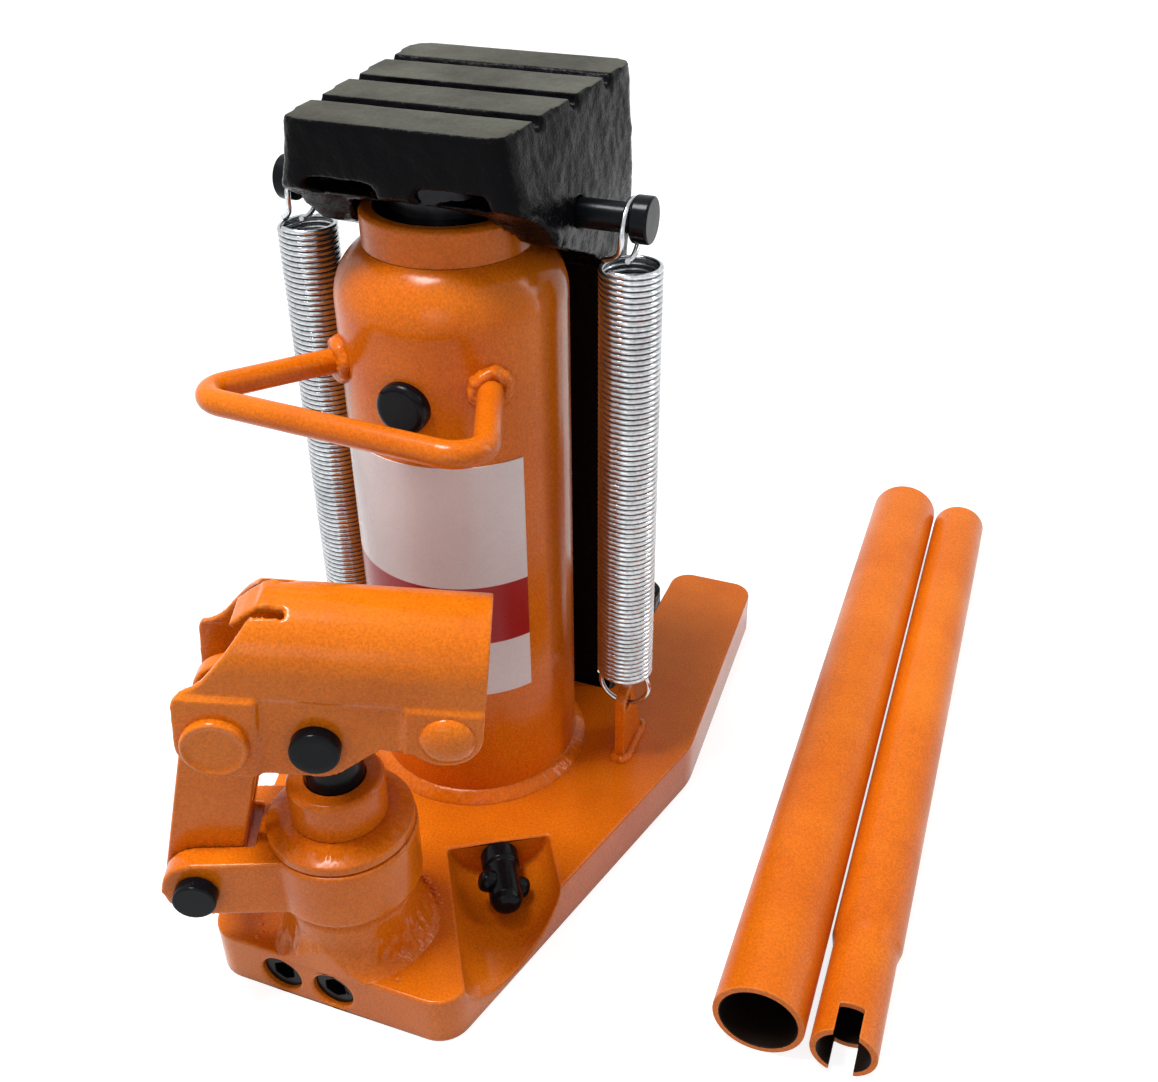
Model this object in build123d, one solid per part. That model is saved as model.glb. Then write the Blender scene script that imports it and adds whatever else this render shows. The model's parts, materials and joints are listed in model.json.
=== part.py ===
"""Hydraulic toe jack with a swivelling hand pump, spring return and a two-piece lever.

Millimetres. The ram stands on the Z axis, the floor is z = 0, the toe points along +Y and
the hand pump stands at -Y. Local frames: the pump's swivelling parts are drawn in
(along the lever, up, towards the near side), with the pump's axis as origin.
"""
import os
from math import atan2, cos, degrees, hypot, radians, sin, sqrt

from build123d import *

# ---------------------------------------------------------------- driving dimensions
head_thickness = 16.0
head_gap = 8.5               # head's underside above the top nut, closed
toe_height = 16.0            # lifting face of the toe, closed
running_fit = 0.05           # radial clearance of a shaft in its hole
part_gap = 0.3               # least gap between parts that pass each other
floor_gap = 1.0              # toe's underside above the floor

# base plate
plate_thickness = 16.0
front_y = -98.0
front_half_width = 35.2
kink_y = 16.0
kink_half_width = 64.8
leg_end_y = 106.5
leg_end_half_width = 61.3
slot_side_gap = 1.2          # beside the carriage's spine
slot_weld_gap = 0.5          # behind the tank's foot weld
front_corner_r = 9.0
kink_r = 25.0
leg_corner_r = 7.0
slot_corner_r = 2.0

# reservoir tube, pressure cylinder and ram
tank_r = 29.9
tank_wall = 3.0
tank_shoulder_z = 165.0
shoulder_step = 8.2          # from the tank's wall in to its neck
neck_z = 179.0
nut_height = 9.5
nut_spigot_wall = 4.65       # around the ram
nut_spigot_length = 8.0
foot_weld_leg = 3.3
ram_r = 14.0
bore_r = 15.0
cylinder_r = 20.0
gasket_thickness = 1.5
gasket_width = 4.0
piston_height = 18.0
piston_rest = 3.0            # piston's underside above the cylinder's floor
piston_seal_height = 5.0
piston_seal_depth = 3.0
wiper_width = 4.0
wiper_height = 4.0

# carriage: head, cheeks, spine and toe
head_front_y = -26.4
head_front_half_width = 27.6
head_back_half_width = 31.5
cheek_wall = 1.7             # beside the tank
spine_half_width = 31.0
spine_thickness = 15.7
spine_weld_gap = 1.3         # behind the tank's foot weld
toe_tip_y = 98.0
toe_half_width = 30.0
carriage_corner_r = 5.0
cheek_line = ((-16.0, 5.4), (-6.6, 14.1), (20.7, 26.3))    # (y, below the head's underside)
cheek_drop = 34.6            # where the cheeks meet the spine
spine_taper = 12.0           # height over which the cheeks narrow to the spine
groove_count = 3
groove_width = 4.2
groove_depth = 2.8
ram_seat_depth = 8.0
boss_wall = 3.5
core_depth = 6.0
carriage_gap = 1.0           # around the tank
toe_root_r = 9.0
arch_height = 3.0
arch_half_width = 9.3
arch_corner_r = 2.4
arch_x = 14.1

# return springs, their pins and anchors
spring_gap = 4.6             # between cheek and coil
spring_y = 7.5
spring_r = 8.2
wire_r = 0.75
coil_bottom_z = 47.2
hook_reach = 11.0            # top coil below the pin it hangs on
hook_pin_drop = 10.2         # pin below the head's underside
hook_pin_r = 3.7
hook_pin_head_r = 5.8
hook_pin_overhang = 5.4      # beyond the spring's axis
hook_pin_depth = 5.6         # into the cheek
hook_slack = 0.08
loop_sweep = 285.0           # degrees of each end loop
anchor_thickness = 3.2
anchor_foot_front = 4.5
anchor_foot_back = 13.0
anchor_top_half = 4.5
anchor_hole_r = 2.2
anchor_hole_z = 35.6
anchor_top_z = 41.0

# carry handle, filler plug and label
handle_rod_r = 3.2
handle_root_angle = 48.0
handle_root_z = 151.0
handle_bar_y = -59.3
handle_bar_z = 155.0
handle_half_width = 40.3
handle_bend_r = 7.0
handle_turn = -3.65          # degrees about the tank's axis
plug_z = 146.4
plug_head_r = 6.8
plug_head_thickness = 3.0
plug_stem_r = 4.0
plug_stem_beyond = 1.5
label_half_angle = 57.0
label_bottom_z = 56.0
label_top_z = 130.0
label_thickness = 0.3
label_glue = 0.06            # bond line under the label

# hand pump
pump_y = -81.0
pump_foot_r = 17.0
pump_foot_top_z = 31.0
pump_neck_r = 15.8
pump_shoulder_z = 35.5
pump_weld_leg = 4.7
pump_weld_rise = 11.5
pump_weld_hollow = 0.42      # how far the bead sinks below a straight slope
pump_weld_proud = 0.6        # of the plate's front face, where the bead is dressed back
journal_r = 13.5
ring_r = 19.25
ring_height = 17.6
spigot_r = 10.8
collar_r = 18.7
collar_rim_height = 2.6
collar_hub_r = 14.6
collar_height = 4.6
gland_r = 12.2
gland_top_z = 70.0
gland_bore_depth = 8.0
gland_chamfer = 1.0
plunger_r = 7.5
plunger_seal_width = 2.0
plunger_seal_height = 3.0
plunger_bottom_z = 26.0
plunger_shoulder_z = 80.0
pump_bore_floor_z = 22.0

# swivelling linkage, in the swivel frame
swivel_angle = 22.0          # of the lever at rest, from +X towards +Y
fork_half_width = 14.0
fork_slot_half = 7.5
fork_slot_end = -20.8
link_pin_s = -35.0
link_pin_r = 4.0
link_pin_head_r = 5.4
link_pin_head_length = 4.0
link_plate_thickness = 4.8
link_plate_r = 9.2
fulcrum_r = 4.5
fulcrum_head_r = 7.9
fulcrum_head_height = 2.8
drive_pin_z = 91.7           # pin between lever socket and plunger, at rest
drive_pin_r = 3.5
drive_pin_head_r = 5.9
drive_pin_head_height = 2.4
eye_r = 6.6
eye_half_thickness = 4.5
eye_play_s = 0.9             # the linkage is opened here, so the eye is a short slot
eye_play_z = 0.4
clip_width = 1.0
clip_height = 2.0

# lever socket, in its own frame: origin on the drive pin, first axis along the lever
socket_tilt = -6.1
fulcrum_arm = 22.4
socket_bore_r = 12.3
socket_wall = 1.7
ear_wall = 2.3
crease_h = 12.8
socket_axis_h = 19.2
socket_rear_s = -31.8
socket_mouth_s = 38.0
ear_lobe_r = 9.6
drive_lobe_r = 10.0
mouth_lobe_r = 8.8
mouth_lobe_h = 5.8
rear_cut = ((-31.8, 12.3), (-25.5, 16.2), (-12.8, 34.0))    # (along, height), rising forwards
ear_hollow = ((18.3, 0.8), (15.5, -0.8), (4.5, -8.9))       # under the ears, from the mouth back
mouth_pin_s = 29.8
mouth_pin_r = 2.0
mouth_pin_head_r = 6.6
mouth_pin_head_height = 3.2
lever_seat_gap = 0.2
tongue_half_width = 5.0
tongue_slit = 2.0
tongue_length = 9.0
tongue_drop = 7.0

# base fluid ways and release valve
gallery_x = (-14.5, 1.0)
gallery_z = 7.2
gallery_plug_r = 5.8
gallery_plug_recess = 1.6
gallery_plug_length = 9.0
chamber_r = 4.2
chamber_length = 22.0
port_r = 2.0
check_ball_r = 3.6
check_wire_r = 0.6
check_turns = 5
hex_socket_r = 3.2
hex_socket_depth = 5.0
pocket_r = 14.9
pocket_axis_z = 17.5
pocket_wall_x = 24.2
pocket_wall_y = -41.6
pocket_turn = -59.0          # valve's direction, from +X
valve_z = 10.8
valve_bore_r = 4.0
valve_bore_depth = 16.0
valve_ball_r = 3.0
valve_collar_r = 5.4
valve_collar_length = 5.5
valve_stem_r = 4.7
valve_length = 20.0
valve_tip_r = 3.0
valve_bar_at = 11.5
valve_bar_r = 3.0
valve_bar_half = 7.4
valve_bar_roll = -25.0
valve_seal_r = 0.9

# the lever's two tubes, lying beside the jack
outer_tube_r = 12.0
inner_tube_r = 9.5
tube_wall = 2.0
tube_length = 255.0
tube_mid_y = 56.5
outer_tube_x = 106.8
inner_tube_x = 128.7
tube_turn = 0.75             # degrees from +Y towards -X
swage_r = 8.6
swage_length = 32.0
swage_cone = 4.0
notch_width = 6.2
notch_depth = 8.5

CENTRED_UP = (Align.CENTER, Align.CENTER, Align.MIN)


# ---------------------------------------------------------------- small helpers
def post(r, z0, z1, x=0.0, y=0.0):
    """Upright solid cylinder between two heights."""
    return Pos(x, y, z0) * Cylinder(r, z1 - z0, align=CENTRED_UP)


def ring(r_out, r_in, z0, z1, x=0.0, y=0.0):
    return post(r_out, z0, z1, x, y) - post(r_in, z0, z1, x, y)


def block(x0, x1, y0, y1, z0, z1):
    centre = Pos((x0 + x1) / 2, (y0 + y1) / 2, (z0 + z1) / 2)
    return centre * Box(x1 - x0, y1 - y0, z1 - z0)


def outline(points):
    """Flat face from a closed list of corners."""
    return make_face(Polyline(*points, close=True))


def turned(points):
    """Solid of revolution about Z from (radius, height) corners."""
    corners = [(r, 0, z) for r, z in points]
    return revolve(make_face(Polyline(*corners, close=True)), Axis.Z)


def side_solid(face, half_width):
    """Extrude a (y, z) face to both sides along X."""
    placed = Plane.YZ * face
    return extrude(placed, amount=half_width, both=True)


def rod(r, start, end):
    """Round bar between two points."""
    a = Vector(*start)
    b = Vector(*end)
    return Plane(origin=a, z_dir=b - a) * Cylinder(r, (b - a).length, align=CENTRED_UP)


def across(r, n0, n1, s, h):
    """Pin along the third local axis, between two offsets."""
    return Pos(s, h, n0) * Cylinder(r, n1 - n0, align=CENTRED_UP)


def save(shape, name):
    shape.label = name
    export_step(shape, f"parts/{name}.step")
    print(f"{name}: {len(shape.solids())} solids, {shape.volume:.1f} mm3, valid {shape.is_valid}")


# ---------------------------------------------------------------- worked-out places
neck_r = tank_r - shoulder_step
nut_spigot_r = ram_r + running_fit + nut_spigot_wall
nut_top_z = neck_z + nut_height
head_under_z = nut_top_z + head_gap
head_height = head_under_z + head_thickness
foot_weld_r = tank_r + foot_weld_leg
slot_front_y = foot_weld_r + slot_weld_gap
slot_half_width = spine_half_width + slot_side_gap
spine_front_y = foot_weld_r + spine_weld_gap
head_back_y = spine_front_y + spine_thickness
cheek_half_width = tank_r + carriage_gap + cheek_wall
cheek_low_z = head_under_z - cheek_drop
spring_x = cheek_half_width + spring_gap + spring_r
hook_pin_z = head_under_z - hook_pin_drop
hook_pin_end_x = spring_x + hook_pin_overhang
hook_pin_root_x = cheek_half_width - hook_pin_depth
coil_top_z = hook_pin_z - hook_reach
swivel_frame = Plane(
    origin=(0, pump_y, 0),
    x_dir=(cos(radians(swivel_angle)), sin(radians(swivel_angle)), 0),
    z_dir=(sin(radians(swivel_angle)), -cos(radians(swivel_angle)), 0),
).location
socket_frame = swivel_frame * Pos(0, drive_pin_z, 0) * Rot(0, 0, socket_tilt)
fulcrum_s = -fulcrum_arm * cos(radians(socket_tilt))
fulcrum_z = drive_pin_z - fulcrum_arm * sin(radians(socket_tilt))
ring_bottom_z = pump_shoulder_z + part_gap
ring_top_z = ring_bottom_z + ring_height
link_pin_z = (ring_bottom_z + ring_top_z) / 2
link_half_out = fork_slot_half - part_gap
link_half_in = link_half_out - link_plate_thickness
collar_bottom_z = ring_top_z + part_gap
collar_top_z = collar_bottom_z + collar_height
spigot_top_z = gland_top_z - gland_bore_depth
ear_half_out = socket_bore_r + ear_wall
socket_r = socket_bore_r + socket_wall
mouth_pin_h = socket_axis_h - outer_tube_r - lever_seat_gap - mouth_pin_r
valve_frame = Plane(
    origin=(pocket_wall_x, pocket_wall_y, valve_z),
    x_dir=(-sin(radians(pocket_turn)), cos(radians(pocket_turn)), 0),
    z_dir=(cos(radians(pocket_turn)), sin(radians(pocket_turn)), 0),
).location
cylinder_floor_z = plate_thickness + gasket_thickness
piston_bottom_z = cylinder_floor_z + piston_rest
nut_seat_z = neck_z - nut_spigot_length


# ---------------------------------------------------------------- base plate
def base_plate():
    right = [
        (front_half_width, front_y),
        (kink_half_width, kink_y),
        (leg_end_half_width, leg_end_y),
        (slot_half_width, leg_end_y),
        (slot_half_width, slot_front_y),
    ]
    radii = [front_corner_r, kink_r, leg_corner_r, leg_corner_r, slot_corner_r]
    left = [(-x, y) for x, y in reversed(right)]
    edge = FilletPolyline(*right, *left, radius=radii + radii[::-1], close=True)
    plate = extrude(make_face(edge), amount=plate_thickness)
    pocket = Pos(0, pocket_axis_z - valve_z, 0) * Cylinder(pocket_r, 2 * tank_r, align=CENTRED_UP)
    valve_bore = Pos(0, 0, -valve_bore_depth) * Cylinder(
        valve_bore_r + running_fit, valve_bore_depth, align=CENTRED_UP
    )
    drain_length = hypot(pocket_wall_x - gallery_x[1], pocket_wall_y)
    drain = Pos(0, 0, -drain_length) * Cylinder(port_r, drain_length, align=CENTRED_UP)
    plate -= valve_frame * (pocket + valve_bore + drain)
    for x, end_y in zip(gallery_x, (-cylinder_r, 0.0)):
        chamber_end = front_y + gallery_plug_recess + gallery_plug_length + chamber_length
        plug_seat = front_y + gallery_plug_recess + gallery_plug_length
        plate -= rod(gallery_plug_r, (x, front_y - 1, gallery_z), (x, plug_seat, gallery_z))
        plate -= rod(chamber_r, (x, plug_seat, gallery_z), (x, chamber_end, gallery_z))
        plate -= rod(port_r, (x, chamber_end, gallery_z), (x, end_y, gallery_z))
        plate -= post(port_r, gallery_z, plate_thickness, x, end_y)
    plate -= post(port_r, gallery_z, plate_thickness, 0, pump_y)
    return plate


def gallery_plugs():
    plugs = []
    for x in gallery_x:
        start = (x, front_y + gallery_plug_recess, gallery_z)
        end = (x, front_y + gallery_plug_recess + gallery_plug_length, gallery_z)
        body = rod(gallery_plug_r, start, end)
        key = extrude(RegularPolygon(hex_socket_r, 6), amount=hex_socket_depth)
        body -= Plane(origin=start, z_dir=(0, 1, 0)) * key
        plugs.append(body)
    return Compound(plugs)


def check_balls():
    seat_y = front_y + gallery_plug_recess + gallery_plug_length + chamber_length
    # the ball rests where its sphere meets the port's rim
    stand = sqrt(check_ball_r**2 - port_r**2)
    return Compound([Pos(x, seat_y - stand, gallery_z) * Sphere(check_ball_r) for x in gallery_x])


def check_springs():
    plug_y = front_y + gallery_plug_recess + gallery_plug_length
    ball_y = plug_y + chamber_length - sqrt(check_ball_r**2 - port_r**2)
    helix_r = chamber_r - part_gap - check_wire_r
    # the last turn rests on the ball's shoulder, the first one on the plug
    reach = sqrt((check_ball_r + check_wire_r) ** 2 - helix_r**2) if helix_r < check_ball_r else 0.0
    first = plug_y + check_wire_r
    last = ball_y - reach
    coil = Helix(pitch=(last - first) / check_turns, height=last - first, radius=helix_r)
    section = Plane(origin=coil @ 0, z_dir=coil % 0) * Circle(check_wire_r)
    wire = sweep(section, path=coil, is_frenet=True)
    springs = []
    for x in gallery_x:
        springs.append(Plane(origin=(x, first, gallery_z), z_dir=(0, 1, 0)) * wire)
    return Compound(springs)


# ---------------------------------------------------------------- tank and ram
def reservoir_tube():
    inner = tank_r - tank_wall
    outer_edge = Line((tank_r, 0, plate_thickness), (tank_r, 0, tank_shoulder_z))
    outer_arc = TangentArc(outer_edge @ 1, (neck_r, 0, neck_z), tangent=(0, 0, 1))
    inner_edge = Line((inner, 0, plate_thickness), (inner, 0, tank_shoulder_z))
    inner_arc = TangentArc(inner_edge @ 1, (nut_spigot_r, 0, neck_z - tank_wall), tangent=(0, 0, 1))
    lip = Line(inner_arc @ 1, (nut_spigot_r, 0, neck_z))
    top = Line(lip @ 1, outer_arc @ 1)
    foot = Line(inner_edge @ 0, outer_edge @ 0)
    section = make_face([outer_edge, outer_arc, top, lip, inner_arc, inner_edge, foot])
    tube = revolve(section, Axis.Z)
    tube -= rod(plug_stem_r + running_fit, (0, -tank_r - 1, plug_z), (0, -inner + 1, plug_z))
    return tube


def cylinder_weld():
    leg = foot_weld_leg
    corner = (tank_r, plate_thickness)
    return turned([corner, (tank_r + leg, plate_thickness), (tank_r, plate_thickness + leg)])


def pressure_cylinder():
    return ring(cylinder_r, bore_r, cylinder_floor_z, nut_seat_z)


def cylinder_gasket():
    return ring(cylinder_r, cylinder_r - gasket_width, plate_thickness, cylinder_floor_z)


def top_nut():
    nut = post(neck_r, neck_z, nut_top_z) + post(nut_spigot_r, nut_seat_z, neck_z)
    nut = chamfer(nut.edges().group_by(Axis.Z)[-1], 1.0)
    nut -= post(ram_r + running_fit, nut_seat_z, nut_top_z)
    nut -= post(ram_r + wiper_width, nut_top_z - wiper_height, nut_top_z)
    return nut


def ram_wiper():
    return ring(ram_r + wiper_width, ram_r + running_fit, nut_top_z - wiper_height, nut_top_z)


def ram():
    seat_z = head_under_z + ram_seat_depth
    piston_top = piston_bottom_z + piston_height
    shaft = post(ram_r, piston_top, seat_z) + post(bore_r - running_fit, piston_bottom_z, piston_top)
    groove_z = piston_bottom_z + (piston_height - piston_seal_height) / 2
    shaft -= ring(bore_r, bore_r - piston_seal_depth, groove_z, groove_z + piston_seal_height)
    return chamfer(shaft.edges().group_by(Axis.Z)[-1], 1.0)


def piston_seal():
    groove_z = piston_bottom_z + (piston_height - piston_seal_height) / 2
    outer = bore_r - running_fit
    return ring(outer, bore_r - piston_seal_depth, groove_z, groove_z + piston_seal_height)


def oil_filler_plug():
    inner = tank_r - tank_wall
    stem = rod(plug_stem_r, (0, -tank_r - 1, plug_z), (0, -inner + plug_stem_beyond, plug_z))
    head = rod(plug_head_r, (0, -tank_r - plug_head_thickness, plug_z), (0, -tank_r + 1, plug_z))
    head = fillet(head.edges().group_by(Axis.Y)[0], plug_head_thickness * 0.6)
    head -= post(tank_r, plug_z - 2 * plug_head_r, plug_z + 2 * plug_head_r)
    return head + stem


def label():
    wedge_reach = 3 * tank_r
    angle = radians(label_half_angle)
    corner = (wedge_reach * sin(angle), -wedge_reach * cos(angle))
    far_y = -wedge_reach
    wedge = outline([(0, 0), corner, (corner[0], far_y), (-corner[0], far_y), (-corner[0], corner[1])])
    inner = tank_r + label_glue
    band = ring(inner + label_thickness, inner, label_bottom_z, label_top_z)
    return band & Pos(0, 0, label_bottom_z) * extrude(wedge, amount=label_top_z - label_bottom_z)


def carry_handle():
    angle = radians(handle_root_angle)
    root = (tank_r * sin(angle) - handle_rod_r * sin(angle), -(tank_r - handle_rod_r) * cos(angle))
    slope = (handle_bar_z - handle_root_z) / (handle_bar_y + tank_r * cos(angle))
    root_z = handle_root_z + (root[1] + tank_r * cos(angle)) * slope
    points = [
        (root[0], root[1], root_z),
        (handle_half_width, handle_bar_y, handle_bar_z),
        (-handle_half_width, handle_bar_y, handle_bar_z),
        (-root[0], root[1], root_z),
    ]
    path = FilletPolyline(*points, radius=handle_bend_r)
    section = Plane(origin=path @ 0, z_dir=path % 0) * Circle(handle_rod_r)
    bar = sweep(section, path=path)
    return Rot(0, 0, handle_turn) * (bar - post(tank_r, plate_thickness, neck_z))


# ---------------------------------------------------------------- carriage
def head_plan(front, back):
    points = [(-front, head_front_y), (front, head_front_y), (back, head_back_y), (-back, head_back_y)]
    return make_face(FilletPolyline(*points, radius=[carriage_corner_r] * 4, close=True))


def carriage():
    spine_top_z = cheek_low_z - spine_taper
    cheek = [(y, head_under_z - drop) for y, drop in reversed(cheek_line)]
    upper = outline([
        (head_front_y, head_height),
        (head_back_y, head_height),
        (head_back_y, spine_top_z),
        (spine_front_y, spine_top_z),
        (spine_front_y, cheek_low_z),
        *cheek,
        (head_front_y, head_under_z),
    ])
    top_plan = Pos(0, 0, head_height) * head_plan(head_front_half_width, head_back_half_width)
    pin_plan = Pos(0, 0, hook_pin_z) * head_plan(cheek_half_width, cheek_half_width)
    low_plan = Pos(0, 0, spine_top_z) * head_plan(spine_half_width, spine_half_width)
    envelope = loft([top_plan, pin_plan], ruled=True) + loft([pin_plan, low_plan], ruled=True)
    body = side_solid(upper, 2 * cheek_half_width) & envelope
    spine = outline([
        (spine_front_y, floor_gap),
        (head_back_y, floor_gap),
        (head_back_y, spine_top_z),
        (spine_front_y, spine_top_z),
    ])
    toe = outline([
        (spine_front_y, floor_gap),
        (toe_tip_y, floor_gap),
        (toe_tip_y, toe_height),
        (spine_front_y, toe_height),
    ])
    root = outline([
        (head_back_y - 1, toe_height),
        (head_back_y + toe_root_r, toe_height),
        (head_back_y, toe_height + toe_root_r),
        (head_back_y - 1, toe_height + toe_root_r),
    ])
    root -= Pos(head_back_y + toe_root_r, toe_height + toe_root_r) * Circle(toe_root_r)
    toe_solid = side_solid(toe, toe_half_width)
    tip_edges = toe_solid.edges().filter_by(Axis.Z).group_by(Axis.Y)[-1]
    toe_solid = fillet(tip_edges, carriage_corner_r)
    body = body + side_solid(spine, spine_half_width) + toe_solid + side_solid(root, toe_half_width)
    # room for the tank, its shoulder and neck, and a cored underside around the ram's boss
    boss_r = ram_r + boss_wall
    tank_room = tank_r + carriage_gap
    neck_room = neck_r + carriage_gap
    step = tank_r - neck_r
    shoulder_r = (step**2 + (neck_z - tank_shoulder_z) ** 2) / (2 * step) + carriage_gap
    shoulder_top = tank_shoulder_z + sqrt(shoulder_r**2 - (shoulder_r - step) ** 2)
    core_top = head_under_z + core_depth
    wall = Polyline((0, 0, plate_thickness), (tank_room, 0, plate_thickness), (tank_room, 0, tank_shoulder_z))
    shoulder = TangentArc(wall @ 1, (neck_room, 0, shoulder_top), tangent=(0, 0, 1))
    core = Polyline(
        shoulder @ 1,
        (neck_room, 0, core_top),
        (boss_r, 0, core_top),
        (boss_r, 0, head_under_z),
        (0, 0, head_under_z),
        (0, 0, plate_thickness),
    )
    body -= revolve(make_face([wall, shoulder, core]), Axis.Z)
    body -= post(ram_r + running_fit, head_under_z, head_under_z + ram_seat_depth)
    arch_z = head_under_z + arch_height - arch_corner_r
    flat = arch_half_width - arch_corner_r
    start_y, end_y, low_z = head_front_y - 1, -boss_r, head_under_z - 1
    for side in (-1, 1):
        x = side * arch_x
        body -= block(x - arch_half_width, x + arch_half_width, start_y, end_y, low_z, arch_z)
        body -= block(x - flat, x + flat, start_y, end_y, low_z, head_under_z + arch_height)
        for corner in (x - flat, x + flat):
            body -= rod(arch_corner_r, (corner, start_y, arch_z), (corner, end_y, arch_z))
        body -= rod(hook_pin_r + running_fit, (side * hook_pin_root_x, spring_y, hook_pin_z),
                    (side * 2 * cheek_half_width, spring_y, hook_pin_z))
    land = (head_back_y - head_front_y - groove_count * groove_width) / (groove_count + 1)
    for i in range(groove_count):
        y0 = head_front_y + land + i * (land + groove_width)
        wide = 2 * cheek_half_width
        body -= block(-wide, wide, y0, y0 + groove_width, head_height - groove_depth, head_height + 1)
    return body


def spring_pin(side):
    head_x = spring_x + wire_r + hook_slack
    root, seat, end = [(side * x, spring_y, hook_pin_z) for x in (hook_pin_root_x, head_x, hook_pin_end_x)]
    return rod(hook_pin_r, root, seat) + rod(hook_pin_head_r, seat, end)


# ---------------------------------------------------------------- return springs
def end_loop(loop_r, coil_z, centre_z):
    """Straight leg from the coil's last turn, then most of a circle in the XZ plane."""
    up = 1 if centre_z > coil_z else -1
    end_angle = radians(loop_sweep)
    leg = Line((-loop_r, 0, coil_z), (-loop_r, 0, centre_z))
    middle = (-loop_r * cos(end_angle / 2), 0, centre_z + up * loop_r * sin(end_angle / 2))
    end = (-loop_r * cos(end_angle), 0, centre_z + up * loop_r * sin(end_angle))
    path = Wire([leg, ThreePointArc(leg @ 1, middle, end)])
    section = Plane(origin=leg @ 0, z_dir=leg % 0) * Circle(wire_r)
    return sweep(section, path=path)


def spring(side):
    """Close-wound coil as a ribbed tube, with a loop at each end."""
    turns = round((coil_top_z - coil_bottom_z) / (2 * wire_r))
    pitch = (coil_top_z - coil_bottom_z) / turns
    inner = spring_r - 2 * wire_r
    valley = spring_r - wire_r
    edges = [Line((inner, 0, coil_bottom_z), (inner, 0, coil_top_z))]
    edges.append(Line((inner, 0, coil_top_z), (valley, 0, coil_top_z)))
    for i in range(turns):
        z = coil_top_z - i * pitch
        edges.append(ThreePointArc((valley, 0, z), (spring_r, 0, z - pitch / 2), (valley, 0, z - pitch)))
    edges.append(Line((valley, 0, coil_bottom_z), (inner, 0, coil_bottom_z)))
    coil = revolve(make_face(edges), Axis.Z)
    loop_r = valley
    top_z = hook_pin_z + hook_pin_r + hook_slack + wire_r - loop_r
    bottom_z = anchor_hole_z - hook_slack + loop_r
    # the loop over the pin lies along Y, the one through the anchor along X
    hook = Rot(0, 0, 90) * end_loop(loop_r, coil_top_z - wire_r, top_z)
    eye = end_loop(loop_r, coil_bottom_z + wire_r, bottom_z)
    return Pos(side * spring_x, spring_y, 0) * (coil + hook + eye)


def spring_anchor(side):
    shoulder_z = anchor_top_z - anchor_top_half
    plate = outline([
        (spring_y - anchor_foot_front, plate_thickness),
        (spring_y + anchor_foot_back, plate_thickness),
        (spring_y + anchor_top_half, shoulder_z),
        (spring_y - anchor_top_half, shoulder_z),
    ])
    plate += Pos(spring_y, shoulder_z) * Circle(anchor_top_half)
    plate -= Pos(spring_y, anchor_hole_z) * Circle(anchor_hole_r)
    return Pos(side * spring_x, 0, 0) * side_solid(plate, anchor_thickness / 2)


# ---------------------------------------------------------------- hand pump
def pump_body():
    body = turned([
        (0, plate_thickness),
        (pump_foot_r, plate_thickness),
        (pump_foot_r, pump_foot_top_z),
        (pump_neck_r, pump_foot_top_z + 2),
        (pump_neck_r, pump_shoulder_z),
        (journal_r, pump_shoulder_z),
        (journal_r, collar_bottom_z),
        (spigot_r, collar_bottom_z),
        (spigot_r, spigot_top_z),
        (0, spigot_top_z),
    ])
    body -= post(plunger_r + running_fit, pump_bore_floor_z, spigot_top_z)
    body -= post(port_r, plate_thickness, pump_bore_floor_z)
    return Pos(0, pump_y, 0) * body


def pump_weld():
    along = pump_weld_leg * pump_weld_hollow
    up = pump_weld_rise * pump_weld_hollow
    bead = turned([
        (pump_foot_r, plate_thickness),
        (pump_foot_r + pump_weld_leg, plate_thickness),
        (pump_foot_r + along, plate_thickness + up),
        (pump_foot_r, plate_thickness + pump_weld_rise),
    ])
    bead = Pos(0, pump_y, 0) * bead
    wide = 2 * (pump_foot_r + pump_weld_leg)
    trim_y = front_y - pump_weld_proud
    return bead - block(-wide, wide, trim_y - wide, trim_y, 0, plate_thickness + 2 * pump_weld_rise)


def pump_collar_nut():
    nut = turned([
        (spigot_r + running_fit, 0),
        (collar_r, 0),
        (collar_r, collar_rim_height),
        (collar_hub_r, collar_height),
        (spigot_r + running_fit, collar_height),
    ])
    return Pos(0, pump_y, collar_bottom_z) * nut


def pump_gland():
    gland = post(gland_r, collar_top_z, gland_top_z)
    gland = chamfer(gland.edges().group_by(Axis.Z)[-1], gland_chamfer)
    gland -= post(spigot_r + running_fit, collar_top_z, spigot_top_z)
    gland -= post(plunger_r + running_fit, spigot_top_z, gland_top_z)
    gland -= post(plunger_r + plunger_seal_width, spigot_top_z, spigot_top_z + plunger_seal_height)
    return Pos(0, pump_y, 0) * gland


def pump_seal():
    outer = plunger_r + plunger_seal_width
    return ring(outer, plunger_r + running_fit, spigot_top_z, spigot_top_z + plunger_seal_height, 0, pump_y)


def pump_plunger():
    shaft = Pos(0, 0, plunger_bottom_z) * Cylinder(
        plunger_r, plunger_shoulder_z - plunger_bottom_z, align=CENTRED_UP
    )
    shaft = Pos(0, pump_y, 0) * shaft
    neck = block(-eye_r, eye_r, plunger_shoulder_z, drive_pin_z, -eye_half_thickness, eye_half_thickness)
    eye = neck + across(eye_r, -eye_half_thickness, eye_half_thickness, 0, drive_pin_z)
    slot_r = drive_pin_r + eye_play_z
    for step in (-1, 1):
        eye -= across(slot_r, -2 * eye_r, 2 * eye_r, step * (eye_play_s - eye_play_z), drive_pin_z)
    reach = eye_play_s - eye_play_z
    eye -= block(-reach, reach, drive_pin_z - slot_r, drive_pin_z + slot_r, -2 * eye_r, 2 * eye_r)
    return shaft + swivel_frame * eye


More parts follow.
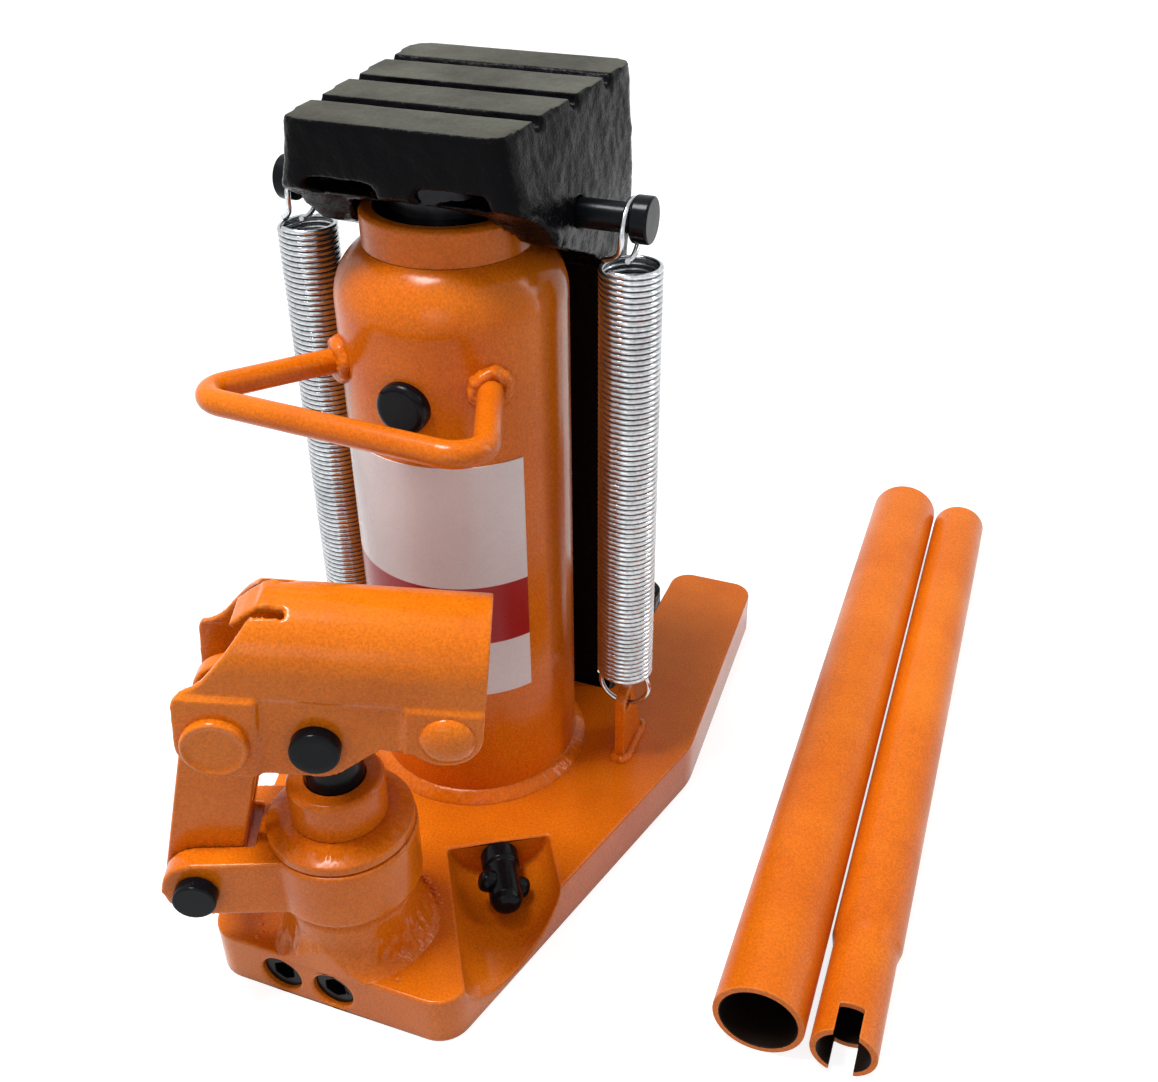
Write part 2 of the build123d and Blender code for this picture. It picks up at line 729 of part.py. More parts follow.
# ---------------------------------------------------------------- swivel bracket and link
def swivel_bracket():
    lug = across(ring_height / 2, -fork_half_width, fork_half_width, link_pin_s, link_pin_z)
    lug += block(link_pin_s, 0, ring_bottom_z, ring_top_z, -fork_half_width, fork_half_width)
    slot_start = link_pin_s - ring_height
    lug -= block(slot_start, fork_slot_end, 0, 2 * ring_top_z, -fork_slot_half, fork_slot_half)
    lug -= across(link_pin_r + running_fit, -2 * fork_half_width, 2 * fork_half_width, link_pin_s, link_pin_z)
    collar = post(ring_r, ring_bottom_z, ring_top_z, 0, pump_y)
    bracket = collar + swivel_frame * lug
    return bracket - post(journal_r + running_fit, ring_bottom_z, ring_top_z, 0, pump_y)


def link_pin():
    far_end = -fork_half_width - clip_height - clip_width
    pin = across(link_pin_r, far_end, fork_half_width, link_pin_s, link_pin_z)
    head_end = fork_half_width + link_pin_head_length
    pin += across(link_pin_head_r, fork_half_width, head_end, link_pin_s, link_pin_z)
    return swivel_frame * pin


def link_pin_clip():
    near = -fork_half_width
    clip = across(link_pin_r + clip_height, near - clip_width, near, link_pin_s, link_pin_z)
    clip -= across(link_pin_r, near - clip_width, near, link_pin_s, link_pin_z)
    return swivel_frame * clip


def link_plate(side):
    rise = Vector(fulcrum_s - link_pin_s, fulcrum_z - link_pin_z)
    middle = Pos((fulcrum_s + link_pin_s) / 2, (fulcrum_z + link_pin_z) / 2)
    lean = degrees(atan2(rise.Y, rise.X))
    plate = middle * Rot(0, 0, lean) * Rectangle(rise.length, 2 * link_plate_r)
    plate += Pos(link_pin_s, link_pin_z) * Circle(link_plate_r)
    plate += Pos(fulcrum_s, fulcrum_z) * Circle(link_plate_r)
    plate -= Pos(link_pin_s, link_pin_z) * Circle(link_pin_r + running_fit)
    plate -= Pos(fulcrum_s, fulcrum_z) * Circle(fulcrum_r + running_fit)
    start = link_half_in if side > 0 else -link_half_out
    return swivel_frame * Pos(0, 0, start) * extrude(plate, amount=link_plate_thickness)


# ---------------------------------------------------------------- lever socket
def socket_section(half_ear, half_side, low_h):
    """Inverted U in (height, across): ears, then straight sides, then a half round."""
    ears = Pos((low_h + crease_h) / 2, 0) * Rectangle(crease_h - low_h, 2 * half_ear)
    sides = Pos((crease_h + socket_axis_h) / 2, 0) * Rectangle(socket_axis_h - crease_h, 2 * half_side)
    return ears + sides + Pos(socket_axis_h, 0) * Circle(half_side)


def lever_socket():
    low_h = -2 * drive_lobe_r
    top_h = socket_axis_h + socket_r + 1
    section = socket_section(ear_half_out, socket_r, low_h)
    section -= socket_section(socket_bore_r, socket_bore_r, low_h)
    # the inner section also reaches below the ears, so the channel is open underneath
    channel = Pos(socket_rear_s - 1, 0, 0) * extrude(
        Plane.YZ * section, amount=socket_mouth_s - socket_rear_s + 1
    )
    side_view = outline([
        (socket_rear_s, 0),
        *rear_cut,
        (rear_cut[-1][0], top_h),
        (socket_mouth_s, top_h),
        (socket_mouth_s, mouth_lobe_h),
        *ear_hollow,
        (0, -drive_lobe_r),
        (-fulcrum_arm, -ear_lobe_r),
    ])
    side_view += Pos(-fulcrum_arm, 0) * Circle(ear_lobe_r)
    side_view += Circle(drive_lobe_r)
    side_view += Pos(socket_mouth_s - mouth_lobe_r, mouth_lobe_h) * Circle(mouth_lobe_r)
    body = channel & extrude(side_view, amount=2 * ear_half_out, both=True)
    # two slits free a tongue that is bent down as the lever's end stop
    crown_in = socket_axis_h + socket_bore_r
    crown_out = socket_axis_h + socket_r
    slit_end = rear_cut[-1][0] + tongue_length / 2
    for side in (-1, 1):
        middle = side * (tongue_half_width + tongue_slit / 2)
        body -= block(socket_rear_s, slit_end, crown_in - 4, crown_out + 1,
                      middle - tongue_slit / 2, middle + tongue_slit / 2)
    bend_s = rear_cut[-1][0] + 1
    tongue = outline([
        (bend_s, crown_out - 0.4),
        (bend_s - tongue_length, crown_out - 0.4 - tongue_drop),
        (bend_s - tongue_length + 1, crown_in - 0.8 - tongue_drop),
        (bend_s + 1, crown_in + 0.2),
    ])
    body += extrude(tongue, amount=tongue_half_width, both=True)
    wide = 2 * ear_half_out
    body -= across(fulcrum_r + running_fit, -wide, wide, -fulcrum_arm, 0)
    body -= across(drive_pin_r + running_fit, -wide, wide, 0, 0)
    body -= across(mouth_pin_r + running_fit, -wide, wide, mouth_pin_s, mouth_pin_h)
    return socket_frame * body


def socket_pin(r, head_r, head_height, s, h, domed=False):
    """Pin across the socket's ears with a head on both sides."""
    pin = across(r, -ear_half_out, ear_half_out, s, h)
    head = Cylinder(head_r, head_height, align=CENTRED_UP)
    top_edge = head.edges().group_by(Axis.Z)[-1]
    head = fillet(top_edge, head_height * 0.8) if domed else fillet(top_edge, head_height * 0.25)
    near = Pos(s, h, ear_half_out) * head
    far = Pos(s, h, -ear_half_out) * Rot(180, 0, 0) * head
    return socket_frame * (pin + near + far)


# ---------------------------------------------------------------- release valve
def release_valve():
    tip = valve_length - valve_tip_r
    stem = turned([
        (0, -valve_bore_depth + 2 * valve_ball_r),
        (valve_bore_r, -valve_bore_depth + 2 * valve_ball_r),
        (valve_bore_r, part_gap),
        (valve_collar_r, part_gap),
        (valve_collar_r, valve_collar_length),
        (valve_stem_r, valve_collar_length + 0.7),
        (valve_stem_r, tip),
        (valve_stem_r - valve_tip_r * 0.3, valve_length - valve_tip_r * 0.3),
        (valve_stem_r - valve_tip_r, valve_length),
        (0, valve_length),
    ])
    seal_z = -valve_bore_depth / 3
    stem -= Pos(0, 0, seal_z) * Torus(valve_bore_r, valve_seal_r)
    bar = rod(valve_bar_r + running_fit, (-valve_bar_half, 0, 0), (valve_bar_half, 0, 0))
    return valve_frame * (stem - Pos(0, 0, valve_bar_at) * Rot(0, 0, valve_bar_roll) * bar)


def valve_cross_bar():
    bar = rod(valve_bar_r, (-valve_bar_half, 0, 0), (valve_bar_half, 0, 0))
    ends = bar.edges().filter_by(GeomType.CIRCLE)
    bar = fillet(ends, valve_bar_r * 0.6)
    return valve_frame * Pos(0, 0, valve_bar_at) * Rot(0, 0, valve_bar_roll) * bar


def valve_seal():
    seal_z = -valve_bore_depth / 3
    torus = Pos(0, 0, seal_z) * Torus(valve_bore_r, valve_seal_r)
    bore = Pos(0, 0, -valve_bore_depth) * Cylinder(valve_bore_r, valve_bore_depth, align=CENTRED_UP)
    return valve_frame * (torus & bore)


def release_ball():
    return valve_frame * Pos(0, 0, -valve_bore_depth + valve_ball_r) * Sphere(valve_ball_r)


# ---------------------------------------------------------------- lever tubes
def tube_frame(x, r):
    turn = radians(tube_turn)
    across_dir = (cos(turn), sin(turn), 0)
    along_dir = (-sin(turn), cos(turn), 0)
    return Plane(origin=(x, tube_mid_y, r), x_dir=across_dir, z_dir=along_dir).location


def lever_tube_outer():
    half = tube_length / 2
    tube = ring(outer_tube_r, outer_tube_r - tube_wall, -half, half)
    return tube_frame(outer_tube_x, outer_tube_r) * tube


def lever_tube_inner():
    half = tube_length / 2
    cone_start = -half + swage_length
    tube = turned([
        (swage_r - tube_wall, -half),
        (swage_r, -half),
        (swage_r, cone_start),
        (inner_tube_r, cone_start + swage_cone),
        (inner_tube_r, half),
        (inner_tube_r - tube_wall, half),
        (inner_tube_r - tube_wall, cone_start + swage_cone),
        (swage_r - tube_wall, cone_start),
    ])
    reach = 2 * swage_r
    tube -= block(-notch_width / 2, notch_width / 2, -reach, reach, -half - 1, -half + notch_depth)
    return tube_frame(inner_tube_x, inner_tube_r) * tube


# ---------------------------------------------------------------- build
def build():
    os.makedirs("parts", exist_ok=True)
    save(base_plate(), "base_plate")
    save(gallery_plugs(), "gallery_plugs")
    save(check_balls(), "check_balls")
    save(check_springs(), "check_springs")
    save(reservoir_tube(), "reservoir_tube")
    save(cylinder_weld(), "cylinder_weld")
    save(pressure_cylinder(), "pressure_cylinder")
    save(cylinder_gasket(), "cylinder_gasket")
    save(top_nut(), "top_nut")
    save(ram_wiper(), "ram_wiper")
    save(ram(), "ram")
    save(piston_seal(), "piston_seal")
    save(oil_filler_plug(), "oil_filler_plug")
    save(label(), "label")
    save(carry_handle(), "carry_handle")
    save(carriage(), "carriage")
    for side, word in ((-1, "left"), (1, "right")):
        save(spring_pin(side), f"spring_pin_{word}")
        save(spring(side), f"spring_{word}")
        save(spring_anchor(side), f"spring_anchor_{word}")
    save(pump_body(), "pump_body")
    save(pump_weld(), "pump_weld")
    save(pump_collar_nut(), "pump_collar_nut")
    save(pump_gland(), "pump_gland")
    save(pump_seal(), "pump_seal")
    save(pump_plunger(), "pump_plunger")
    save(swivel_bracket(), "swivel_bracket")
    save(link_pin(), "link_pin")
    save(link_pin_clip(), "link_pin_clip")
    save(link_plate(1), "link_plate_near")
    save(link_plate(-1), "link_plate_far")
    save(lever_socket(), "lever_socket")
    save(socket_pin(fulcrum_r, fulcrum_head_r, fulcrum_head_height, -fulcrum_arm, 0), "fulcrum_pin")
    save(socket_pin(drive_pin_r, drive_pin_head_r, drive_pin_head_height, 0, 0), "drive_pin")
    mouth = (mouth_pin_r, mouth_pin_head_r, mouth_pin_head_height, mouth_pin_s, mouth_pin_h)
    save(socket_pin(*mouth, domed=True), "mouth_pin")
    save(release_valve(), "release_valve")
    save(valve_cross_bar(), "valve_cross_bar")
    save(valve_seal(), "valve_seal")
    save(release_ball(), "release_ball")
    save(lever_tube_outer(), "lever_tube_outer")
    save(lever_tube_inner(), "lever_tube_inner")


build()
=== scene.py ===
"""Dresses a hydraulic toe jack: enamel, casting, close-wound springs, weld beads and pressed lever socket.

Metres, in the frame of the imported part. The ram stands on the Z axis, the floor is z = 0,
the toe points along +Y and the hand pump stands at -Y.
"""

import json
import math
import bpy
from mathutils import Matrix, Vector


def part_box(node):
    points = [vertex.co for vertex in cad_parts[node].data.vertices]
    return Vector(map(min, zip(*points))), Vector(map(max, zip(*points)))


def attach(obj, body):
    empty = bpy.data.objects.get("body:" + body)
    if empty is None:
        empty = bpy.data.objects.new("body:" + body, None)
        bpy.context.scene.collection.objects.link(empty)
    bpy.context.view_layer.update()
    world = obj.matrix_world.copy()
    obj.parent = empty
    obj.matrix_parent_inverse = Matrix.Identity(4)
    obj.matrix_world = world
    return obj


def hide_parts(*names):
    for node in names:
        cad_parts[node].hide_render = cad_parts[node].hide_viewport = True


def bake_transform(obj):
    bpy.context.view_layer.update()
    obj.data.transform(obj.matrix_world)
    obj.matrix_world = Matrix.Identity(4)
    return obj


bl_info = {
    "name": "Toe jack",
    "version": (1, 0, 0),
    "blender": (4, 5, 0),
    "location": "3D Viewport > Sidebar > Toe jack",
    "description": "Dresses the frame of a toe jack with its finishes, welds, springs and pressed parts",
    "category": "Object",
}

import bmesh
import bpy
from mathutils import Matrix, Vector, noise

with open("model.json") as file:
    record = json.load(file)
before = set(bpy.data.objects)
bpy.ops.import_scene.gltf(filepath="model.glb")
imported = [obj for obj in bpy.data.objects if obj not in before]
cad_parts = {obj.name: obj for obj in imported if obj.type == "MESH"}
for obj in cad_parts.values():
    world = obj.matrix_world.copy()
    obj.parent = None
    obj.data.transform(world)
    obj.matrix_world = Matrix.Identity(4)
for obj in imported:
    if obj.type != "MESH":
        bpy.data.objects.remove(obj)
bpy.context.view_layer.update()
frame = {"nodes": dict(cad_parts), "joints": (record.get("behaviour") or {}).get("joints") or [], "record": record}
cad = frame["nodes"]
joints = {joint["name"]: joint for joint in frame["joints"]}

MM = 0.001
UP = Vector((0.0, 0.0, 1.0))
ENAMEL = "orange_paint"
CASTING = "black_casting"
ZINC = "zinc_plate"
OXIDE = "black_oxide"
SKINS = {
    ENAMEL: "orange_enamel",
    CASTING: "black_casting_skin",
    ZINC: "bright_zinc",
    OXIDE: "black_oxide_skin",
    "bright_steel": "ground_steel",
    "seal_rubber": "rubber_black",
    "label_film": "label_print",
}
SIDES = ("left", "right")

# the label's red band, as shares of its height
BAND_START = 18 / 74
BAND_END = 37 / 74

# the lever socket's pressing, in millimetres along the lever, upwards and across from the drive pin
SOCKET_REAR = -31.8
SOCKET_MOUTH = 38.0
FULCRUM_ALONG = -22.4
CROWN_UP = 19.2
CROWN_RADIUS = 14.0
CREASE_UP = 12.8
SHEET = 1.75


# ------------------------------------------------------------------ settings
def colour_setting(name, description, default):
    return bpy.props.FloatVectorProperty(
        name=name, description=description, subtype="COLOR", size=3, min=0.0, max=1.0, default=default)


def length_setting(name, description, millimetres):
    return bpy.props.FloatProperty(
        name=name, description=description, default=millimetres * MM, min=0.0, unit="LENGTH")


def angle_setting(name, description, degrees):
    return bpy.props.FloatProperty(
        name=name, description=description, subtype="ANGLE", default=math.radians(degrees))


def level_setting(name, description, default):
    return bpy.props.FloatProperty(name=name, description=description, default=default, min=0.0)


class JackFinish(bpy.types.PropertyGroup):
    enamel: colour_setting("Enamel", "Colour of the enamel where it is thick", (0.78, 0.185, 0.005))
    enamel_deep: colour_setting("Enamel, deep", "Enamel where it lies in patches", (0.60, 0.115, 0.003))
    # painted highlight: lighter enamel along edges, partly thin paint and partly standing in for light catching
    # them
    enamel_thin_and_highlight: colour_setting("Enamel, thin and highlit", "Lighter colour along edges", (0.88, 0.42, 0.13))
    casting: colour_setting("Casting", "Black paint of the carriage", (0.003, 0.003, 0.004))
    # painted reflection: grey of the head's upward lands, partly duller paint and partly standing in for light
    # reflected from above
    land_sheen_colour: colour_setting("Head land with sheen", "Duller paint of the head's lands, lightened as painted sheen", (0.066, 0.067, 0.049))
    zinc: colour_setting("Zinc", "Plating of the springs", (0.60, 0.62, 0.64))
    oxide: colour_setting("Black oxide", "Pins, plugs and valve", (0.004, 0.005, 0.007))
    label_pale: colour_setting("Label, pale", "Ground of the label", (0.78, 0.70, 0.70))
    label_red: colour_setting("Label, red", "Band across the label", (0.36, 0.002, 0.004))


class JackDetail(bpy.types.PropertyGroup):
    plate_edge: length_setting("Plate edge", "Rounding of the base plate's edges", 0.9)
    part_edge: length_setting("Part edge", "Rounding of turned and cut parts", 0.45)
    casting_grain: length_setting("Casting grain", "Mesh size of the carriage's skin", 1.0)
    casting_lump: length_setting("Casting lump", "Depth of the casting's waviness", 0.22)
    sheet_grain: length_setting("Sheet grain", "Mesh size of the pressed socket", 0.5)
    wire: length_setting("Spring wire", "Radius of the spring wire", 0.75)
    hook_reach: length_setting("Hook reach", "From a pin's axis down to the top of its coil", 11.0)
    eye_reach: length_setting("Eye reach", "From a spring's lowest point up to its coil", 12.43)
    wire_sides: bpy.props.IntProperty(
        name="Wire sides", description="Faces around the spring wire", default=8, min=3)
    weld_seed: bpy.props.IntProperty(
        name="Weld seed", description="Chooses the pattern of lumps in the beads", default=4)


class JackStage(bpy.types.PropertyGroup):
    camera_place: bpy.props.FloatVectorProperty(
        name="Camera place", description="Where the camera stands", subtype="TRANSLATION",
        size=3, default=(0.14067, -0.27748, 0.29349))
    camera_yaw: angle_setting("Camera yaw", "Turn about Z", 21.03)
    camera_pitch: angle_setting("Camera pitch", "Tilt below level", 33.58)
    camera_roll: angle_setting("Camera roll", "Turn about the line of sight", -0.52)
    lens: bpy.props.FloatProperty(
        name="Lens", description="Focal length in millimetres", default=40.13, min=1.0)
    sky: level_setting("Sky", "Level of the surrounding light", 0.36)
    key: level_setting("Key", "Power of the light above", 16.0)
    side: level_setting("Side", "Power of the strip at the right", 2.2)
    fill: level_setting("Fill", "Power of the light in front", 1.5)


class ToeJack(bpy.types.PropertyGroup):
    finish: bpy.props.PointerProperty(type=JackFinish, name="Finish", description="Colours")
    detail: bpy.props.PointerProperty(type=JackDetail, name="Detail", description="Sizes of fine detail")
    stage: bpy.props.PointerProperty(type=JackStage, name="Stage", description="Camera and lights")


# ------------------------------------------------------------------ node helpers
def add_node(tree, kind, inputs=None, **settings):
    """A node with its settings made and its inputs set or linked."""
    made = tree.nodes.new(kind)
    for key, value in settings.items():
        setattr(made, key, value)
    for key, value in (inputs or {}).items():
        if isinstance(value, bpy.types.NodeSocket):
            tree.links.new(value, made.inputs[key])
        else:
            made.inputs[key].default_value = value
    return made


def new_group(name, kind, inputs, outputs):
    """Node group with named sockets; inputs are (name, type, value), outputs (name, type)."""
    tree = bpy.data.node_groups.new(name, kind)
    for label, socket_type, value in inputs:
        socket = tree.interface.new_socket(label, in_out="INPUT", socket_type="NodeSocket" + socket_type)
        if value is not None:
            socket.default_value = value
    for label, socket_type in outputs:
        tree.interface.new_socket(label, in_out="OUTPUT", socket_type="NodeSocket" + socket_type)
    return tree, tree.nodes.new("NodeGroupInput").outputs, tree.nodes.new("NodeGroupOutput")


def math_node(tree, operation, first, second=None, third=None, clamp=False):
    made = tree.nodes.new("ShaderNodeMath")
    made.operation = operation
    made.use_clamp = clamp
    for index, value in enumerate((first, second, third)):
        if isinstance(value, bpy.types.NodeSocket):
            tree.links.new(value, made.inputs[index])
        elif value is not None:
            made.inputs[index].default_value = value
    return made.outputs[0]


def mix_colour(tree, factor, first, second, blend="MIX"):
    made = tree.nodes.new("ShaderNodeMix")
    made.data_type = "RGBA"
    made.blend_type = blend
    for index, value in ((0, factor), (6, first), (7, second)):
        if isinstance(value, bpy.types.NodeSocket):
            tree.links.new(value, made.inputs[index])
        else:
            made.inputs[index].default_value = value
    return made.outputs[2]


def remap(tree, value, low, high, new_low=0.0, new_high=1.0):
    made = add_node(tree, "ShaderNodeMapRange", {
        "Value": value, "From Min": low, "From Max": high, "To Min": new_low, "To Max": new_high})
    return made.outputs["Result"]


def noise_at(tree, place, scale, detail, rough):
    return add_node(tree, "ShaderNodeTexNoise", {
        "Vector": place, "Scale": scale, "Detail": detail, "Roughness": rough}).outputs["Fac"]


def paint_group():
    """Sprayed or brushed coating: slow patches, fine grain and orange peel."""
    tree, given, out = new_group("Paint film", "ShaderNodeTree", [
        ("Coating", "Color", (0.8, 0.2, 0.02, 1.0)),
        ("Deep", "Color", (0.6, 0.1, 0.01, 1.0)),
        ("Patch Scale", "Float", 22.0),
        ("Grain Scale", "Float", 1500.0),
        ("Grain", "Float", 0.2),
        ("Gloss Low", "Float", 0.2),
        ("Gloss High", "Float", 0.36),
    ], [("Color", "Color"), ("Roughness", "Float"), ("Height", "Float")])
    place = tree.nodes.new("ShaderNodeTexCoord").outputs["Object"]
    patch = noise_at(tree, place, given["Patch Scale"], 4.0, 0.6)
    grain = noise_at(tree, place, given["Grain Scale"], 2.0, 0.7)
    peel = noise_at(tree, place, 420.0, 1.5, 0.5)
    patches = remap(tree, patch, 0.32, 0.7)
    base = mix_colour(tree, patches, given["Coating"], given["Deep"])
    speck = remap(tree, grain, 0.3, 0.7, -1.0, 1.0)
    shade = math_node(tree, "MULTIPLY_ADD", speck, given["Grain"], 1.0)
    tint = add_node(tree, "ShaderNodeCombineColor", {"Red": shade, "Green": shade, "Blue": shade}).outputs[0]
    tree.links.new(mix_colour(tree, 1.0, base, tint, "MULTIPLY"), out.inputs["Color"])
    rough = remap(tree, patch, 0.3, 0.7, given["Gloss Low"], given["Gloss High"])
    tree.links.new(rough, out.inputs["Roughness"])
    tree.links.new(math_node(tree, "MULTIPLY_ADD", grain, 0.18, peel), out.inputs["Height"])
    return tree


def edge_wear_and_highlight_group():
    """Mask of outer edges, broken up by noise: worn paint, and on the enamel a painted edge highlight."""
    tree, given, out = new_group("Edge wear and highlight", "ShaderNodeTree", [
        ("Radius", "Float", 0.0008),
        ("Breakup Scale", "Float", 160.0),
        ("Amount", "Float", 0.6),
    ], [("Mask", "Float")])
    rounded = add_node(tree, "ShaderNodeBevel", {"Radius": given["Radius"]}, samples=4).outputs["Normal"]
    flat = tree.nodes.new("ShaderNodeNewGeometry").outputs["Normal"]
    agree = add_node(tree, "ShaderNodeVectorMath", {0: rounded, 1: flat}, operation="DOT_PRODUCT")
    edge = remap(tree, agree.outputs["Value"], 0.995, 0.86)
    place = tree.nodes.new("ShaderNodeTexCoord").outputs["Object"]
    breakup = noise_at(tree, place, given["Breakup Scale"], 3.0, 0.65)
    broken = math_node(tree, "MULTIPLY", edge, remap(tree, breakup, 0.34, 0.6))
    tree.links.new(math_node(tree, "MULTIPLY", broken, given["Amount"], clamp=True), out.inputs["Mask"])
    return tree


def shade_and_grime_group():
    """Mask of corners and gaps, for dust and oil that settle there and for painted shade that darkens them."""
    tree, given, out = new_group("Corner shade and grime", "ShaderNodeTree", [
        ("Reach", "Float", 0.004),
        ("Speck Scale", "Float", 700.0),
        ("Amount", "Float", 0.5),
    ], [("Mask", "Float")])
    open_air = add_node(tree, "ShaderNodeAmbientOcclusion", {"Distance": given["Reach"]}, samples=4)
    closed = math_node(tree, "SUBTRACT", 1.0, open_air.outputs["AO"], clamp=True)
    place = tree.nodes.new("ShaderNodeTexCoord").outputs["Object"]
    speck = noise_at(tree, place, given["Speck Scale"], 3.0, 0.75)
    gathered = math_node(tree, "MULTIPLY", closed, remap(tree, speck, 0.38, 0.62))
    tree.links.new(math_node(tree, "MULTIPLY", gathered, given["Amount"], clamp=True), out.inputs["Mask"])
    return tree


def cast_group():
    """Height and pit mask of a sand-cast skin."""
    tree, given, out = new_group("Cast skin", "ShaderNodeTree", [
        ("Pit Scale", "Float", 900.0),
        ("Lump Scale", "Float", 260.0),
    ], [("Height", "Float"), ("Pits", "Float")])
    place = tree.nodes.new("ShaderNodeTexCoord").outputs["Object"]
    pit = noise_at(tree, place, given["Pit Scale"], 3.0, 0.7)
    lump = add_node(tree, "ShaderNodeTexVoronoi", {
        "Vector": place, "Scale": given["Lump Scale"], "Randomness": 1.0}, feature="SMOOTH_F1")
    tree.links.new(math_node(tree, "MULTIPLY_ADD", pit, 0.75, lump.outputs["Distance"]), out.inputs["Height"])
    tree.links.new(remap(tree, pit, 0.42, 0.62), out.inputs["Pits"])
    return tree


def use_group(tree, name, inputs):
    made = tree.nodes.new("ShaderNodeGroup")
    made.node_tree = bpy.data.node_groups[name]
    for key, value in inputs.items():
        made.inputs[key].default_value = value
    return made.outputs


def new_material(name):
    material = bpy.data.materials.new(name)
    material.use_nodes = True
    return material, material.node_tree, material.node_tree.nodes["Principled BSDF"]


def opaque(colour):
    return (*colour, 1.0)


def bump(tree, height, strength, distance):
    return add_node(tree, "ShaderNodeBump", {
        "Height": height, "Strength": strength, "Distance": distance}).outputs["Normal"]


def join_up(tree, shader, colour, rough, normal, specular):
    """Join a finish to its shader."""
    tree.links.new(colour, shader.inputs["Base Color"])
    tree.links.new(rough, shader.inputs["Roughness"])
    tree.links.new(normal, shader.inputs["Normal"])
    shader.inputs["Specular IOR Level"].default_value = specular


# ------------------------------------------------------------------ finishes
def enamel_material(name, finish, gloss=(0.13, 0.27), peel=0.3, shade_and_grime=0.6):
    """Orange enamel over steel: patches, orange peel, thin edges with a painted highlight, and dirt with painted
    shade in the corners.
    """
    material, tree, shader = new_material(name)
    film = use_group(tree, "Paint film", {
        "Coating": opaque(finish.enamel), "Deep": opaque(finish.enamel_deep),
        "Gloss Low": gloss[0], "Gloss High": gloss[1]})
    edge_mask = use_group(tree, "Edge wear and highlight", {"Radius": 0.7 * MM, "Amount": 0.5})
    shade_and_dirt = use_group(tree, "Corner shade and grime", {"Amount": shade_and_grime})
    # painted highlight: lighter enamel along the edges, partly thin paint and partly standing in for light
    # catching them
    edged = mix_colour(tree, edge_mask["Mask"], film["Color"], opaque(finish.enamel_thin_and_highlight))
    # painted shade: corners and gaps darkened by occlusion, together with specks of dirt
    shaded_and_soiled = mix_colour(tree, shade_and_dirt["Mask"], edged, (0.035, 0.012, 0.006, 1.0))
    join_up(tree, shader, shaded_and_soiled, film["Roughness"], bump(tree, film["Height"], peel, 0.12 * MM), 0.2)
    return material


def casting_material(finish):
    """Black paint over a sand-cast skin, rubbed a little at its edges."""
    material, tree, shader = new_material("black_casting_skin")
    skin = use_group(tree, "Cast skin", {})
    edge_mask = use_group(tree, "Edge wear and highlight", {"Radius": 0.6 * MM, "Amount": 0.12, "Breakup Scale": 620.0})
    colour = mix_colour(tree, edge_mask["Mask"], opaque(finish.casting), (0.30, 0.33, 0.36, 1.0))
    rough = remap(tree, skin["Pits"], 0.0, 1.0, 0.10, 0.30)
    join_up(tree, shader, colour, rough, bump(tree, skin["Height"], 0.8, 0.35 * MM), 0.045)
    return material


def land_sheen_material(finish):
    """Thin, duller paint on the head's lands, lightened grey as a painted reflection of the light above."""
    material, tree, shader = new_material("head_land_sheen")
    skin = use_group(tree, "Cast skin", {"Pit Scale": 1300.0, "Lump Scale": 500.0})
    film = use_group(tree, "Paint film", {
        "Coating": opaque(finish.land_sheen_colour), "Deep": (0.036, 0.035, 0.028, 1.0), "Patch Scale": 45.0,
        "Grain": 0.3, "Gloss Low": 0.42, "Gloss High": 0.6})
    join_up(tree, shader, film["Color"], film["Roughness"], bump(tree, skin["Height"], 0.3, 0.2 * MM), 0.09)
    return material


def metal_material(name, colour, rough, metallic=1.0, specular=0.5, depth=0.05):
    """Plated or oxidised metal with fine tool marks, their depth in millimetres."""
    material, tree, shader = new_material(name)
    film = use_group(tree, "Paint film", {
        "Coating": opaque(colour), "Deep": opaque([0.72 * part for part in colour]), "Patch Scale": 90.0,
        "Grain Scale": 900.0, "Grain": 0.16, "Gloss Low": rough[0], "Gloss High": rough[1]})
    marks = bump(tree, film["Height"], 0.3, depth * MM)
    join_up(tree, shader, film["Color"], film["Roughness"], marks, specular)
    shader.inputs["Metallic"].default_value = metallic
    return material


def spring_material(finish):
    """Zinc plate, darkened between the turns as painted shade."""
    material = metal_material("bright_zinc", finish.zinc, (0.14, 0.26))
    tree, shader = material.node_tree, material.node_tree.nodes["Principled BSDF"]
    plated = shader.inputs["Base Color"].links[0].from_socket
    # painted shade: where the turns crowd each other the plating turns dark and loses its metal
    open_air = add_node(tree, "ShaderNodeAmbientOcclusion", {"Distance": 1.6 * MM}, samples=8).outputs["AO"]
    unshaded = remap(tree, open_air, 0.30, 0.66)
    tree.links.new(mix_colour(tree, unshaded, (0.008, 0.010, 0.012, 1.0), plated), shader.inputs["Base Color"])
    tree.links.new(unshaded, shader.inputs["Metallic"])
    return material


def label_material(finish):
    """Pale film with one deep red band, its edges straight in height."""
    material, tree, shader = new_material("label_print")
    low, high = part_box("label")
    band_low = low.z + (high.z - low.z) * BAND_START
    band_high = low.z + (high.z - low.z) * BAND_END
    edge = 0.06 * MM
    place = tree.nodes.new("ShaderNodeTexCoord").outputs["Object"]
    height = add_node(tree, "ShaderNodeSeparateXYZ", {0: place}).outputs["Z"]
    above = remap(tree, height, band_low - edge, band_low + edge)
    below = remap(tree, height, band_high + edge, band_high - edge)
    band = math_node(tree, "MULTIPLY", above, below)
    film = use_group(tree, "Paint film", {
        "Coating": opaque(finish.label_pale), "Deep": opaque([0.93 * part for part in finish.label_pale]),
        "Patch Scale": 60.0, "Grain": 0.04, "Gloss Low": 0.22, "Gloss High": 0.34})
    printed = mix_colour(tree, band, film["Color"], opaque(finish.label_red))
    join_up(tree, shader, printed, film["Roughness"], bump(tree, film["Height"], 0.15, 0.05 * MM), 0.25)
    return material


